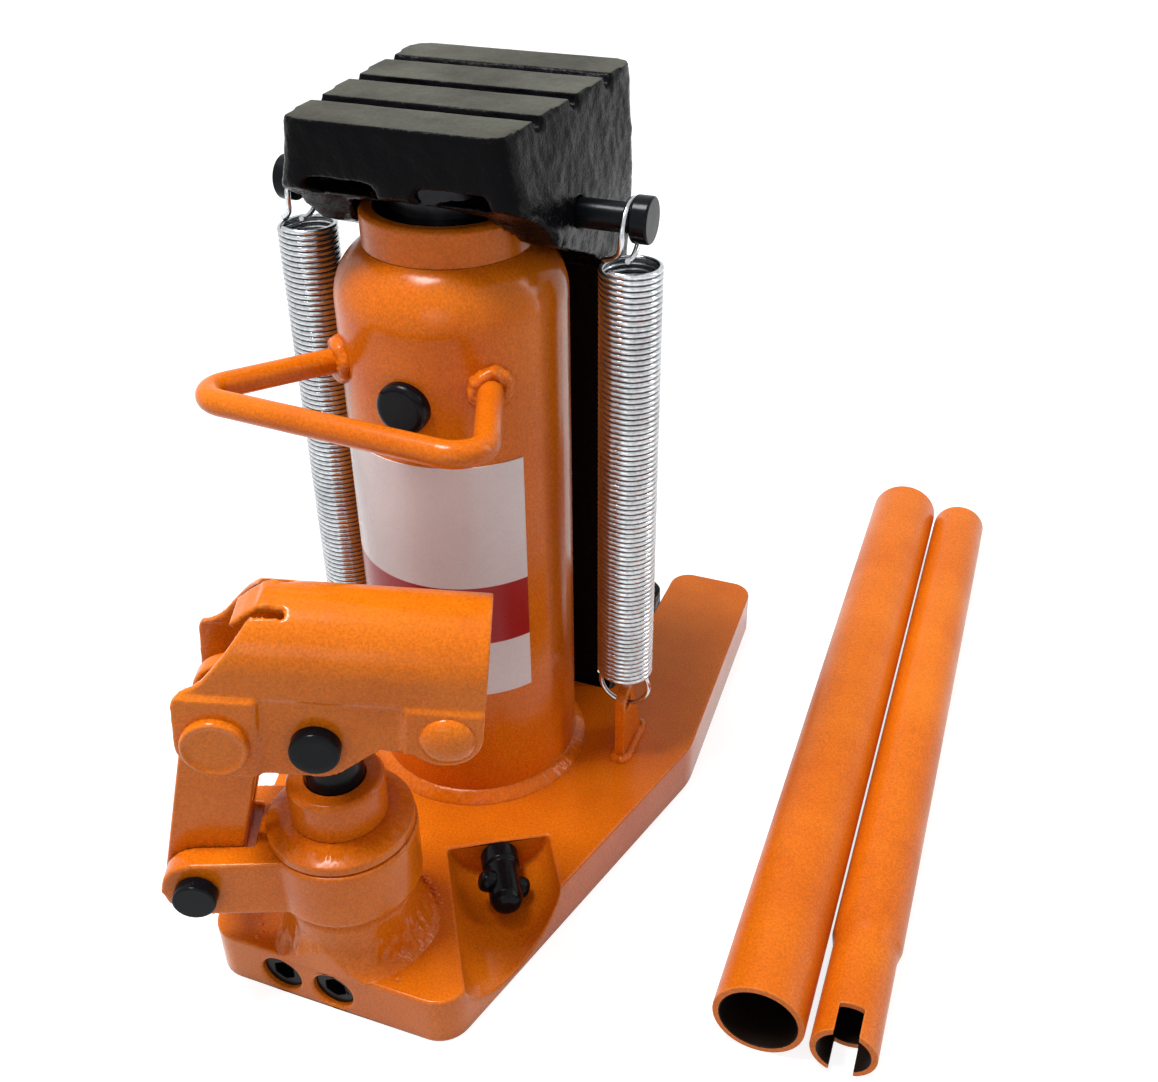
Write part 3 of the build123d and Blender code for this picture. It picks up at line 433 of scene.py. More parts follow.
class JACK_OT_finishes(bpy.types.Operator):
    """Make every finish and put it on the nodes that keep their CAD shape"""
    bl_idname = "toe_jack.finishes"
    bl_label = "Finishes"

    def execute(self, context):
        finish = context.scene.toe_jack.finish
        for build in (paint_group, edge_wear_and_highlight_group, shade_and_grime_group, cast_group):
            build()
        enamel_material("orange_enamel", finish)
        enamel_material("weld_enamel", finish, gloss=(0.1, 0.22), peel=0.5, shade_and_grime=0.2)
        enamel_material("tube_enamel", finish, gloss=(0.24, 0.42), peel=0.2, shade_and_grime=0.2)
        casting_material(finish)
        land_sheen_material(finish)
        label_material(finish)
        spring_material(finish)
        metal_material("black_oxide_skin", finish.oxide, (0.14, 0.28), 0.0, 0.1, depth=0.12)
        metal_material("ram_steel", (0.022, 0.022, 0.026), (0.18, 0.3), 0.6, 0.2)
        metal_material("ground_steel", (0.56, 0.56, 0.55), (0.14, 0.26))
        # painted shade: near-black standing in for the shadow inside the lever tubes
        metal_material("bore_shade", (0.010, 0.005, 0.003), (0.5, 0.7), 0.0, 0.1)
        metal_material("rubber_black", (0.003, 0.003, 0.005), (0.2, 0.34), 0.0, 0.12, depth=0.1)
        own = {"ram": "ram_steel", "cylinder_weld": "weld_enamel", "pump_weld": "weld_enamel"}
        slots = {row["node"]: row["material_slot"] for row in frame["record"]["subparts"]}
        for name, piece in cad.items():
            wanted = own.get(name) or SKINS[slots[name]]
            if not piece.material_slots:
                piece.data.materials.append(None)
            for place in piece.material_slots:
                place.material = bpy.data.materials[wanted]
        return {"FINISHED"}


# ------------------------------------------------------------------ mesh helpers
def link_piece(name, mesh, *materials):
    piece = bpy.data.objects.new(name, mesh)
    bpy.context.scene.collection.objects.link(piece)
    mesh.materials.clear()
    for material in materials:
        mesh.materials.append(bpy.data.materials[material])
    return piece


def from_shell(name, shell, *materials):
    """Object from a bmesh, which is used up."""
    mesh = bpy.data.meshes.new(name)
    bmesh.ops.recalc_face_normals(shell, faces=shell.faces[:])
    shell.to_mesh(mesh)
    shell.free()
    return link_piece(name, mesh, *materials)


def joined_copy(node):
    """Bmesh of a CAD node with its triangles joined up, and flat ones merged."""
    flat = math.radians(0.4)
    source = cad[node].data
    mesh = bpy.data.meshes.new(node + "_copy")
    mesh.from_pydata([v.co[:] for v in source.vertices], [], [p.vertices[:] for p in source.polygons])
    shell = bmesh.new()
    shell.from_mesh(mesh)
    bpy.data.meshes.remove(mesh)
    bmesh.ops.remove_doubles(shell, verts=shell.verts[:], dist=2e-6)
    bmesh.ops.dissolve_limit(shell, angle_limit=flat, verts=shell.verts[:], edges=shell.edges[:])
    return shell


def smooth(piece, sharp=None):
    """Shade smooth, but for corners sharper than an angle in degrees where one is given."""
    piece.data.shade_smooth()
    if sharp is not None:
        piece.data.set_sharp_from_angle(angle=math.radians(sharp))
    return piece


def evaluated_mesh(piece):
    graph = bpy.context.evaluated_depsgraph_get()
    return bpy.data.meshes.new_from_object(piece.evaluated_get(graph), depsgraph=graph)


def take_in(piece):
    """Turn a piece's modifiers into its mesh."""
    mesh = evaluated_mesh(piece)
    piece.modifiers.clear()
    piece.data = mesh


def settle(piece, sharp=36.0, weighted=True):
    """Take in a piece's modifiers and shade it, smooth but for real corners."""
    take_in(piece)
    smooth(piece, sharp)
    if weighted:
        modifier = piece.modifiers.new("normals", "WEIGHTED_NORMAL")
        modifier.keep_sharp = True
        take_in(piece)
    return piece


def rounded_copy(node, name, radius, material, segments=2):
    """Copy of a CAD node with its corners rounded."""
    piece = from_shell(name, joined_copy(node), material)
    modifier = piece.modifiers.new("round", "BEVEL")
    modifier.width = radius
    modifier.segments = segments
    modifier.limit_method = "ANGLE"
    modifier.angle_limit = math.radians(32.0)
    modifier.use_clamp_overlap = False
    modifier.miter_outer = "MITER_ARC"
    return settle(piece)


def skin_over(piece, grain, passes):
    """Voxel skin over a closed piece, so that its corners and hollows run together."""
    modifier = piece.modifiers.new("skin", "REMESH")
    modifier.mode = "VOXEL"
    modifier.voxel_size = grain
    modifier.use_smooth_shade = True
    modifier = piece.modifiers.new("soften", "SMOOTH")
    modifier.factor = 0.5
    modifier.iterations = passes
    return settle(piece, sharp=180.0, weighted=False)


def dress(piece, body, slot, *replaced):
    """Hang a finished piece on its body in place of the CAD nodes that it stands for."""
    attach(piece, body)
    if replaced:
        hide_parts(*replaced)
    return piece


def dress_copy(node, name, radius, body, slot=ENAMEL, segments=2):
    """Put a copy with rounded corners in a CAD node's place."""
    return dress(rounded_copy(node, name, radius, SKINS[slot], segments), body, slot, node)


def bridge(shell, low, high):
    """Faces between two closed rings of corners."""
    for index in range(len(low)):
        after = (index + 1) % len(low)
        shell.faces.new((low[index], low[after], high[after], high[index]))


def lathe(shell, profile, place):
    """Closed solid of revolution from (radius, height) corners that start and end on the axis."""
    steps = 72
    rings = []
    for radius, height in profile:
        spots = []
        for step in range(steps if radius > 1e-9 else 1):
            angle = 2 * math.pi * step / steps
            spots.append(Vector((radius * math.cos(angle), radius * math.sin(angle), height)))
        rings.append([shell.verts.new(place @ spot) for spot in spots])
    for step in range(steps):
        shell.faces.new((rings[0][0], rings[1][step], rings[1][(step + 1) % steps]))
    for low, high in zip(rings[1:-1], rings[2:-1]):
        bridge(shell, low, high)
    for step in range(steps):
        shell.faces.new((rings[-2][step], rings[-2][(step + 1) % steps], rings[-1][0]))


def lumps(point, size, seed):
    """Fractal noise near zero at a point, for features of about a size."""
    return noise.fractal(point / size + Vector((seed, 0.0, 0.0)), 1.0, 2.0, 3)


def tube_along(shell, points, radius_at, sides, start_normal):
    """Sweep a round section along closed points; radius_at(index, angle) gives its radius."""
    rings = []
    for index, point in enumerate(points):
        along = (points[(index + 1) % len(points)] - points[index - 1]).normalized()
        out = start_normal - along * start_normal.dot(along)
        out.normalize()
        side = along.cross(out)
        ring = []
        for step in range(sides):
            angle = 2 * math.pi * step / sides
            radius = radius_at(index, angle)
            spot = point + out * (radius * math.cos(angle)) + side * (radius * math.sin(angle))
            ring.append(shell.verts.new(spot))
        rings.append(ring)
    for low, high in zip(rings, rings[1:] + rings[:1]):
        bridge(shell, low, high)


# ------------------------------------------------------------------ places taken from the frame
def middle(node):
    low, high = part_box(node)
    return (low + high) / 2


def near_side():
    """Along the lever's pins, towards the near side."""
    return Vector(joints["lever_pump"]["axis"]).normalized()


def socket_place():
    """Matrix from the socket's own (along, up, near) to the frame, with its origin on the drive pin."""
    near = near_side()
    drive, fulcrum = middle("drive_pin"), middle("fulcrum_pin")
    along = (drive - fulcrum).normalized()
    up = near.cross(along)
    return Matrix((
        (along.x, up.x, near.x, drive.x),
        (along.y, up.y, near.y, drive.y),
        (along.z, up.z, near.z, drive.z),
        (0.0, 0.0, 0.0, 1.0)))


def smooth_step(value, start, end):
    t = min(max((value - start) / (end - start), 0.0), 1.0)
    return t * t * (3.0 - 2.0 * t)


# ------------------------------------------------------------------ base plate and tank nut
class JACK_OT_base(bpy.types.Operator):
    """Base plate with rounded edges, gallery plugs and spring anchors"""
    bl_idname = "toe_jack.base"
    bl_label = "Base plate"

    def execute(self, context):
        detail = context.scene.toe_jack.detail
        dress_copy("base_plate", "plate", detail.plate_edge, "base", segments=3)
        dress_copy("gallery_plugs", "gallery_screws", 0.4 * MM, "base", OXIDE)
        for word in SIDES:
            dress_copy("spring_anchor_" + word, "anchor_" + word, 0.7 * MM, "base")
        return {"FINISHED"}


class JACK_OT_tank(bpy.types.Operator):
    """Nut at the tank's neck; the tank, handle and filler plug keep their CAD shape"""
    bl_idname = "toe_jack.tank"
    bl_label = "Tank nut"

    def execute(self, context):
        dress_copy("top_nut", "gland_nut", context.scene.toe_jack.detail.part_edge, "base")
        return {"FINISHED"}


# ------------------------------------------------------------------ welds
def fillet_bead(name, centre, radius, leg, rise_to, seed, lump, bow,
                material="weld_enamel", ripples=0, flare=None, front=-1.0):
    """Bead in the corner between an upright round part and a flat one; bow over 1 hollows it.

    Nothing of it stands in front of y = front.
    """
    shell = bmesh.new()
    steps, arc_points = 360, 13
    root, sunk = radius - 0.6 * MM, UP * (0.4 * MM)
    rings = []
    for step in range(steps):
        angle = 2 * math.pi * step / steps
        out = Vector((math.cos(angle), math.sin(angle), 0.0))
        reach = leg * (1.0 + (flare(angle) if flare else 0.0))
        ring = [centre + out * root - sunk, centre + out * (radius + reach) - sunk]
        for index in range(arc_points):
            share = index / (arc_points - 1)
            across, rise = (1.0 - share) ** bow, share ** bow
            point = centre + out * (radius + reach * across) + UP * (rise_to * rise)
            belly = math.sin(math.pi * share)
            shift = lump * lumps(point, 2.6 * MM, seed) + 0.6 * lump * lumps(point, 7.0 * MM, seed + 9)
            if ripples:
                shift += 0.25 * lump * math.sin(ripples * angle + 3.0 * rise)
            push = (out + UP).normalized() * shift * (0.2 + 0.8 * belly)
            ring.append(point + push)
        ring.append(centre + out * root + UP * rise_to)
        rings.append([shell.verts.new((point.x, max(point.y, front), point.z)) for point in ring])
    for low, high in zip(rings, rings[1:] + rings[:1]):
        for index in range(len(low)):
            after = (index + 1) % len(low)
            shell.faces.new((low[index], high[index], high[after], low[after]))
    return smooth(from_shell(name, shell, material), 70.0)


def bead_around(name, points, radius, lump, seed, sides=12, start_normal=UP):
    """Lumpy round bead along a closed run of points on the base."""
    shell = bmesh.new()

    def radius_at(index, angle):
        point = points[index] + Vector((math.cos(angle), math.sin(angle), 0.5)) * radius
        return radius + lump * lumps(point, 2.2 * MM, seed)

    tube_along(shell, points, radius_at, sides, start_normal)
    return dress(smooth(from_shell(name, shell, "weld_enamel")), "base", ENAMEL)


def spatter(name, centre, radius, seed):
    """Small flattened drops of weld round a bead, on the plate."""
    shell = bmesh.new()
    drops, golden_angle = 46, 137.5
    front_reach, right_reach = 15.5 * MM, 21.0 * MM
    for index in range(drops):
        angle = math.radians(golden_angle * index) + 0.4 * math.sin(index + seed)
        reach = radius + (0.4 + 5.5 * ((index * 0.618 + 0.1 * seed) % 1.0) ** 2) * MM
        size = (0.45 + 0.75 * ((index * 0.37) % 1.0)) * MM
        spot = centre + Vector((reach * math.cos(angle), reach * math.sin(angle), 0.0))
        if spot.y < centre.y - front_reach or spot.x > centre.x + right_reach:
            continue
        place = Matrix.Translation(spot) @ Matrix.Diagonal((size, size * 0.8, size * 0.55, 1.0))
        bmesh.ops.create_icosphere(shell, subdivisions=2, radius=1.0, matrix=place)
    return smooth(from_shell(name, shell, "weld_enamel"))


def handle_roots():
    """The tank's radius, and each end of the carry handle as (side, centre on the tank, way out)."""
    tank_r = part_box("reservoir_tube")[1].x
    verts = [v.co for v in cad["carry_handle"].data.vertices]
    roots = []
    for side in (-1, 1):
        near = [co for co in verts if co.x * side > 0 and math.hypot(co.x, co.y) < tank_r + 0.3 * MM]
        centre = sum(near, Vector()) / len(near)
        out = Vector((centre.x, centre.y, 0.0)).normalized()
        roots.append((side, Vector((out.x * tank_r, out.y * tank_r, centre.z)), out))
    return tank_r, roots


def ring_on_tank(tank_r, centre, out, radius, steps=96):
    """Points of a circle laid on the tank's round wall."""
    points = []
    for step in range(steps):
        angle = 2 * math.pi * step / steps
        swing = radius * math.cos(angle) / tank_r
        level = Matrix.Rotation(swing, 3, "Z") @ out * (tank_r + 0.2 * MM)
        points.append(Vector((level.x, level.y, centre.z + radius * math.sin(angle))))
    return points


def ring_round_foot(low, high, level, steps=110):
    """Points of a rounded oblong a little wider than a box, at one level."""
    centre = (low + high) / 2
    half_x = (high.x - low.x) / 2 + 0.4 * MM
    half_y = (high.y - low.y) / 2 + 0.4 * MM
    squareness = 0.35
    points = []
    for step in range(steps):
        angle = 2 * math.pi * step / steps
        c, s = math.cos(angle), math.sin(angle)
        x = math.copysign(abs(c) ** squareness, c) * half_x
        y = math.copysign(abs(s) ** squareness, s) * half_y
        points.append(Vector((centre.x + x, centre.y + y, level)))
    return points


def pump_bead_flare(angle):
    """How much farther than its mean the pump's bead runs out over the plate."""
    return 0.10 * math.sin(3 * angle + 1.0) + 0.06 * math.sin(7 * angle)


class JACK_OT_welds(bpy.types.Operator):
    """Weld beads at the tank's foot, the pump's foot, the handle's roots and the spring anchors"""
    bl_idname = "toe_jack.welds"
    bl_label = "Welds"

    def execute(self, context):
        seed = context.scene.toe_jack.detail.weld_seed
        plate_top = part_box("base_plate")[1].z
        tank_r, roots = handle_roots()
        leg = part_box("cylinder_weld")[1].x - tank_r
        foot = fillet_bead(
            "tank_foot_bead", Vector((0.0, 0.0, plate_top)), tank_r, leg, leg, seed, 0.22 * MM, 0.8,
            material="orange_enamel", ripples=90)
        dress(foot, "base", ENAMEL, "cylinder_weld")

        pump = middle("pump_gland")
        pump_foot = Vector((pump.x, pump.y, plate_top))
        low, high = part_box("pump_weld")
        outer = (high.x - low.x) / 2
        corners = [v.co for v in cad["pump_weld"].data.vertices]
        inner = min(math.hypot(co.x - pump.x, co.y - pump.y) for co in corners)
        root = fillet_bead(
            "pump_foot_bead", pump_foot, inner, outer - inner, high.z - low.z, seed + 20, 0.8 * MM, 1.5,
            flare=pump_bead_flare, front=low.y)
        dress(root, "base", ENAMEL, "pump_weld")
        dress(spatter("pump_spatter", pump_foot, outer, seed), "base", ENAMEL)

        for side, centre, out in roots:
            word = "left" if side < 0 else "right"
            points = ring_on_tank(tank_r, centre, out, 3.9 * MM)
            bead_around("handle_bead_" + word, points, 2.3 * MM, 0.8 * MM, seed + 5 * side, 20, out)
        for word in SIDES:
            points = ring_round_foot(*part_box("spring_anchor_" + word), plate_top + 0.2 * MM)
            bead_around("anchor_bead_" + word, points, 1.5 * MM, 0.9 * MM, seed + len(word))
        return {"FINISHED"}


# ------------------------------------------------------------------ carriage
class JACK_OT_carriage(bpy.types.Operator):
    """Cast carriage with a rough skin, and its spring pins"""
    bl_idname = "toe_jack.carriage"
    bl_label = "Carriage"

    def execute(self, context):
        detail = context.scene.toe_jack.detail
        piece = from_shell("carriage_casting", joined_copy("carriage"), "black_casting_skin", "head_land_sheen")
        skin_over(piece, detail.casting_grain, 2)
        mesh = piece.data
        low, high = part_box("carriage")
        land_depth, land_roughness, upright = 0.5 * MM, 0.15, 0.9
        normals = [v.normal.copy() for v in mesh.vertices]
        for vert, normal in zip(mesh.vertices, normals):
            rough = lumps(vert.co, 3.2 * MM, 3) + 1.2 * lumps(vert.co, 11.0 * MM, 7)
            # the head's lands stay nearly flat
            face_share = land_roughness if vert.co.z > high.z - land_depth else 1.0
            vert.co += normal * detail.casting_lump * face_share * rough
            vert.co.y = min(vert.co.y, high.y)
            vert.co.z = min(max(vert.co.z, low.z), high.z)
        mesh.update()
        # painted sheen: the head's upward lands get the lighter grey finish, standing in for light reflected from
        # above
        for face in mesh.polygons:
            if face.center.z > high.z - 1.1 * land_depth and face.normal.z > upright:
                face.material_index = 1
        dress(piece, "lift_carriage", CASTING, "carriage")
        for word in SIDES:
            dress_copy("spring_pin_" + word, "hook_pin_" + word, 0.6 * MM, "lift_carriage", OXIDE, 3)
        return {"FINISHED"}


# ------------------------------------------------------------------ springs
def spring_tree():
    """Geometry Nodes: a close-wound coil joined to the loops given as curves, swept as round wire."""
    tree, given, out = new_group("Coil spring", "GeometryNodeTree", [
        ("Loops", "Geometry", None),
        ("Turns", "Float", 54.0),
        ("Coil Radius", "Float", 0.007),
        ("Wire Radius", "Float", 0.0012),
        ("Height", "Float", 0.12),
        ("Place", "Vector", None),
        ("Start Angle", "Float", 0.0),
        ("Wire Sides", "Int", 8),
        ("Finish", "Material", None),
    ], [("Mesh", "Geometry")])
    coil = add_node(tree, "GeometryNodeCurveSpiral", {
        "Resolution": 26, "Rotations": given["Turns"], "Start Radius": given["Coil Radius"],
        "End Radius": given["Coil Radius"], "Height": given["Height"]}).outputs["Curve"]
    turn = add_node(tree, "ShaderNodeCombineXYZ", {"Z": given["Start Angle"]}).outputs[0]
    placed = add_node(tree, "GeometryNodeTransform", {
        "Geometry": coil, "Translation": given["Place"], "Rotation": turn}).outputs[0]
    join = tree.nodes.new("GeometryNodeJoinGeometry")
    tree.links.new(placed, join.inputs[0])
    tree.links.new(given["Loops"], join.inputs[0])
    section = add_node(tree, "GeometryNodeCurvePrimitiveCircle", {
        "Resolution": given["Wire Sides"], "Radius": given["Wire Radius"]}).outputs["Curve"]
    wire = add_node(tree, "GeometryNodeCurveToMesh", {
        "Curve": join.outputs[0], "Profile Curve": section, "Fill Caps": True}).outputs[0]
    smooth = add_node(tree, "GeometryNodeSetShadeSmooth", {"Geometry": wire}).outputs[0]
    real = add_node(tree, "GeometryNodeRealizeInstances", {"Geometry": smooth}).outputs[0]
    finished = add_node(tree, "GeometryNodeSetMaterial", {"Geometry": real, "Material": given["Finish"]})
    tree.links.new(finished.outputs[0], out.inputs["Mesh"])
    return tree


def set_inputs(modifier, values):
    """Set a Geometry Nodes modifier's inputs by the name shown on their sockets."""
    for item in modifier.node_group.interface.items_tree:
        if item.item_type == "SOCKET" and item.in_out == "INPUT" and item.name in values:
            modifier[item.identifier] = values[item.name]


def loop_points(centre, across, rise, radius, coil_end, coil_tangent):
    """Wire from a coil's end into a loop that lies in the plane of across and rise."""
    leg = centre - across * radius
    points = [coil_end, coil_end + coil_tangent * radius * 0.32 + rise * radius * 0.05]
    points.append(leg + (coil_end - leg) * 0.12 + rise * ((coil_end - leg).dot(rise) * 0.45))
    sweep = math.radians(290.0)
    for step in range(33):
        angle = sweep * step / 32
        points.append(centre - across * (radius * math.cos(angle)) + rise * (radius * math.sin(angle)))
    return points


def coil_point(axis, radius, angle, height):
    return axis + Vector((radius * math.cos(angle), radius * math.sin(angle), height))


class JACK_OT_springs(bpy.types.Operator):
    """Return springs as real wire, stretching between the anchors and the hook pins"""
    bl_idname = "toe_jack.springs"
    bl_label = "Springs"

    def execute(self, context):
        detail = context.scene.toe_jack.detail
        tree = spring_tree()
        along_x, along_y = Vector((1.0, 0.0, 0.0)), Vector((0.0, 1.0, 0.0))
        for word in SIDES:
            node = "spring_" + word
            low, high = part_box(node)
            pin = middle("spring_pin_" + word)
            axis = Vector(((low.x + high.x) / 2, (low.y + high.y) / 2, 0.0))
            wire = detail.wire
            radius = (high.x - low.x) / 2 - wire
            coil_low, coil_high = low.z + detail.eye_reach + wire, pin.z - detail.hook_reach - wire
            pitch = 2.02 * wire
            turns = (coil_high - coil_low) / pitch
            start_angle = math.radians(205.0)
            end_angle = start_angle + 2 * math.pi * turns
            start = coil_point(axis, radius, start_angle, coil_low)
            end = coil_point(axis, radius, end_angle, coil_high)
            tangent_low = Vector((math.sin(start_angle), -math.cos(start_angle), 0.0))
            tangent_high = Vector((-math.sin(end_angle), math.cos(end_angle), 0.0))
            top_centre = Vector((axis.x, axis.y, high.z - wire - radius))
            low_centre = Vector((axis.x, axis.y, low.z + wire + radius))
            runs = [
                loop_points(top_centre, along_y, UP, radius, end, tangent_high),
                loop_points(low_centre, along_x, -UP, radius, start, tangent_low),
            ]
            curve = bpy.data.curves.new("return_spring_" + word, "CURVE")
            curve.dimensions = "3D"
            for points in runs:
                spline = curve.splines.new("NURBS")
                spline.points.add(len(points) - 1)
                for spot, point in zip(spline.points, points):
                    spot.co = (*point, 1.0)
                spline.order_u = 3
                spline.use_endpoint_u = True
                spline.resolution_u = 3
            holder = bpy.data.objects.new("return_spring_path_" + word, curve)
            context.scene.collection.objects.link(holder)
            modifier = holder.modifiers.new("wire", "NODES")
            modifier.node_group = tree
            set_inputs(modifier, {
                "Turns": turns, "Coil Radius": radius, "Wire Radius": wire,
                "Height": coil_high - coil_low, "Place": (axis.x, axis.y, coil_low),
                "Start Angle": start_angle, "Wire Sides": detail.wire_sides,
                "Finish": bpy.data.materials["bright_zinc"]})
            mesh = evaluated_mesh(holder)
            bpy.data.objects.remove(holder)
            piece = link_piece("return_spring_" + word, mesh, "bright_zinc")
            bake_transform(piece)
            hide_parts(node)
        return {"FINISHED"}


# ------------------------------------------------------------------ hand pump and swivel
class JACK_OT_pump(bpy.types.Operator):
    """Pump body, collar nut, gland, plunger and swivel bracket with its links"""
    bl_idname = "toe_jack.pump"
    bl_label = "Hand pump"

    def execute(self, context):
        detail = context.scene.toe_jack.detail
        for node, name in (
            ("pump_body", "pump_barrel"),
            ("pump_collar_nut", "collar_hex"),
            ("pump_gland", "gland"),
        ):
            dress_copy(node, name, detail.part_edge, "base", segments=3)
        dress_copy("pump_plunger", "plunger", 0.4 * MM, "plunger", OXIDE)
        bracket = from_shell("swivel_casting", joined_copy("swivel_bracket"), "orange_enamel")
        dress(skin_over(bracket, 0.62 * MM, 5), "swivel", ENAMEL, "swivel_bracket")
        dress_copy("link_pin", "swing_pin", 0.6 * MM, "swivel", OXIDE, 3)
        for word in ("near", "far"):
            dress_copy("link_plate_" + word, "link_bar_" + word, 0.8 * MM, "link", segments=3)
        return {"FINISHED"}


# ------------------------------------------------------------------ lever socket
def ear_bulge(along):
    """How far the ears stand out round the fulcrum and at the mouth, past the hollow between them."""
    at_fulcrum = 1.75 * (1.0 - smooth_step(along, -13.6, -12.4))
    at_mouth = 1.45 * smooth_step(along, 19.0, 20.2)
    return at_fulcrum + at_mouth


def socket_half(along):
    """Outer half section as (up, across) points, from the crown to the ear's foot."""
    points = []
    for step in range(19):
        angle = 0.5 * math.pi * step / 18
        points.append((CROWN_UP + CROWN_RADIUS * math.cos(angle), CROWN_RADIUS * math.sin(angle)))
    for up in (17.0, 15.2, CREASE_UP + 0.9):
        points.append((up, CROWN_RADIUS))
    ear = CROWN_RADIUS - 0.45 + ear_bulge(along)
    for up in (CREASE_UP + 0.3, CREASE_UP - 0.1):
        joggle = smooth_step(-up, -CREASE_UP - 0.5, -CREASE_UP + 0.2)
        points.append((up, CROWN_RADIUS + (ear - CROWN_RADIUS) * joggle))
    for up in (CREASE_UP - 0.6, 8.0, 2.0, -4.0, -12.0):
        points.append((up, ear))
    return points


def inside_sheet(up, across):
    """Point of the inner face that lies behind a point of the outer one."""
    crown = max(up - CROWN_UP, 0.0)
    reach = math.hypot(crown, across)
    share = (reach - SHEET) / reach
    inner_up = CROWN_UP + crown * share if up > CROWN_UP else up
    return inner_up, across * share


def socket_channel(place):
    """Closed swept sheet: half-round crown, straight sides and ears with their joggles."""
    shell = bmesh.new()
    stations = 76
    rings = []
    for index in range(stations):
        along = SOCKET_REAR + (SOCKET_MOUTH - SOCKET_REAR) * index / (stations - 1)
        half = socket_half(along)
        outer = [(up, -across) for up, across in reversed(half)] + half[1:]
        inner = [inside_sheet(up, across) for up, across in outer]
        ring = outer + inner[::-1]
        rings.append([shell.verts.new(place @ Vector((along, up, across))) for up, across in ring])
    for low, high in zip(rings, rings[1:]):
        bridge(shell, low, high)
    shell.faces.new(rings[0])
    shell.faces.new(rings[-1][::-1])
    return shell


def arc(centre, radius, start, end, steps):
    """Points of an arc, angles in degrees from the first axis."""
    points = []
    for step in range(steps + 1):
        angle = math.radians(start + (end - start) * step / steps)
        points.append((centre[0] + radius * math.cos(angle), centre[1] + radius * math.sin(angle)))
    return points


def prism(place, outline, low, high):
    """Bmesh of an outline in (along, up) drawn out across."""
    shell = bmesh.new()
    near = [shell.verts.new(place @ Vector((x, y, high))) for x, y in outline]
    far = [shell.verts.new(place @ Vector((x, y, low))) for x, y in outline]
    shell.faces.new(near)
    shell.faces.new(far[::-1])
    for index in range(len(outline)):
        after = (index + 1) % len(outline)
        shell.faces.new((near[index], far[index], far[after], near[after]))
    return shell


def carve(piece, shell, operation):
    """Boolean with a helper solid, which is removed afterwards."""
    tool = from_shell("carving_tool", shell)
    modifier = piece.modifiers.new("carve", "BOOLEAN")
    modifier.operation = operation
    modifier.solver = "EXACT"
    modifier.object = tool
    take_in(piece)
    bpy.data.objects.remove(tool)


def socket_outline():
    """Side view of the pressing: raked rear, open mouth, and lobes round its three pins."""
    top = 36.0
    points = [(SOCKET_REAR, 0.0)]
    points += arc((SOCKET_REAR + 3.4, 10.4), 3.4, 180.0, 112.0, 4)
    points += [(-27.0, 15.0), (-25.0, 16.9), (-12.8, 34.0), (-12.0, top), (SOCKET_MOUTH, top)]
    points += arc((SOCKET_MOUTH - 8.8, 5.8), 8.8, 0.0, -112.0, 14)
    points += arc((17.6, 6.6), 7.4, -60.0, -112.0, 5)
    points += arc((0.0, 0.0), 10.0, -52.0, -100.0, 10)
    points += arc((FULCRUM_ALONG, 0.0), 9.6, -95.0, -180.0, 12)
    return points


def rivet_profile(head):
    """Head of a pin as (share of its radius, share of its rise) from the seat to the middle."""
    if head == "dished":
        rim = [(1.0, 0.0), (1.0, 0.62), (0.975, 0.86), (0.94, 0.97), (0.90, 1.0), (0.86, 0.97)]
        return rim + [(0.83, 0.88), (0.80, 0.82), (0.7, 0.80), (0.4, 0.80), (0.0, 0.80)]
    if head == "domed":
        turns = [math.radians(degrees) for degrees in range(10, 90, 10)]
        dome = [(math.cos(turn), 0.12 + 0.88 * math.sin(turn)) for turn in turns]
        return [(1.0, 0.0), (1.0, 0.12), *dome, (0.0, 1.0)]
    return [(1.0, 0.0), (1.0, 0.78), (0.985, 0.9), (0.95, 0.98), (0.91, 1.0), (0.6, 0.985), (0.0, 0.975)]


def rivet(node, name, head, seat, slot):
    """Pin across the ears with a shaped head at both ends, which starts at the seat."""
    near = near_side()
    centre = middle(node)
    verts = [v.co - centre for v in cad[node].data.vertices]
    half = max(abs(co.dot(near)) for co in verts)
    radius = max((co - near * co.dot(near)).length for co in verts)
    rise = half - seat
    upper = [(radius * r, seat + rise * h) for r, h in rivet_profile(head)]
    lower = [(r, -h) for r, h in reversed(upper)]
    stem = 0.5 * radius
    shell = bmesh.new()
    turn = near.to_track_quat("Z", "Y").to_matrix().to_4x4()
    lathe(shell, [*lower, (stem, -seat), (stem, seat), *upper], Matrix.Translation(centre) @ turn)
    piece = smooth(from_shell(name, shell, SKINS[slot]), 48.0)
    return dress(piece, "lever_socket", slot, node)


class JACK_OT_socket(bpy.types.Operator):
    """Pressed lever socket with its joggled ears, tongue and riveted pins"""
    bl_idname = "toe_jack.socket"
    bl_label = "Lever socket"

    def execute(self, context):
        detail = context.scene.toe_jack.detail
        place = socket_place() @ Matrix.Scale(MM, 4)
        piece = from_shell("socket_pressing", socket_channel(place), "orange_enamel")
        half_width, slit_across, half_slit, half_tongue = 18.0, 6.1, 1.05, 5.0
        carve(piece, prism(place, socket_outline(), -half_width, half_width), "INTERSECT")
        slit = [(-26.0, 27.0), (-8.6, 27.0), (-7.6, 28.0), (-7.6, 36.0), (-26.0, 36.0)]
        for across in (-slit_across, slit_across):
            carve(piece, prism(place, slit, across - half_slit, across + half_slit), "DIFFERENCE")
        tongue = [
            (-11.0, 33.0), (-13.5, 32.4), (-17.0, 29.8), (-20.3, 26.6),
            (-19.2, 25.4), (-16.0, 28.2), (-13.0, 30.6), (-11.0, 31.3),
        ]
        carve(piece, prism(place, tongue, -half_tongue, half_tongue), "UNION")
        skin_over(piece, detail.sheet_grain, 3)
        dress(piece, "lever_socket", ENAMEL, "lever_socket")

        rivet("fulcrum_pin", "fulcrum_rivet", "dished", 14.2 * MM, ENAMEL)
        rivet("mouth_pin", "mouth_rivet", "domed", 14.2 * MM, ENAMEL)
        rivet("drive_pin", "drive_stud", "flat", 13.3 * MM, OXIDE)
        return {"FINISHED"}


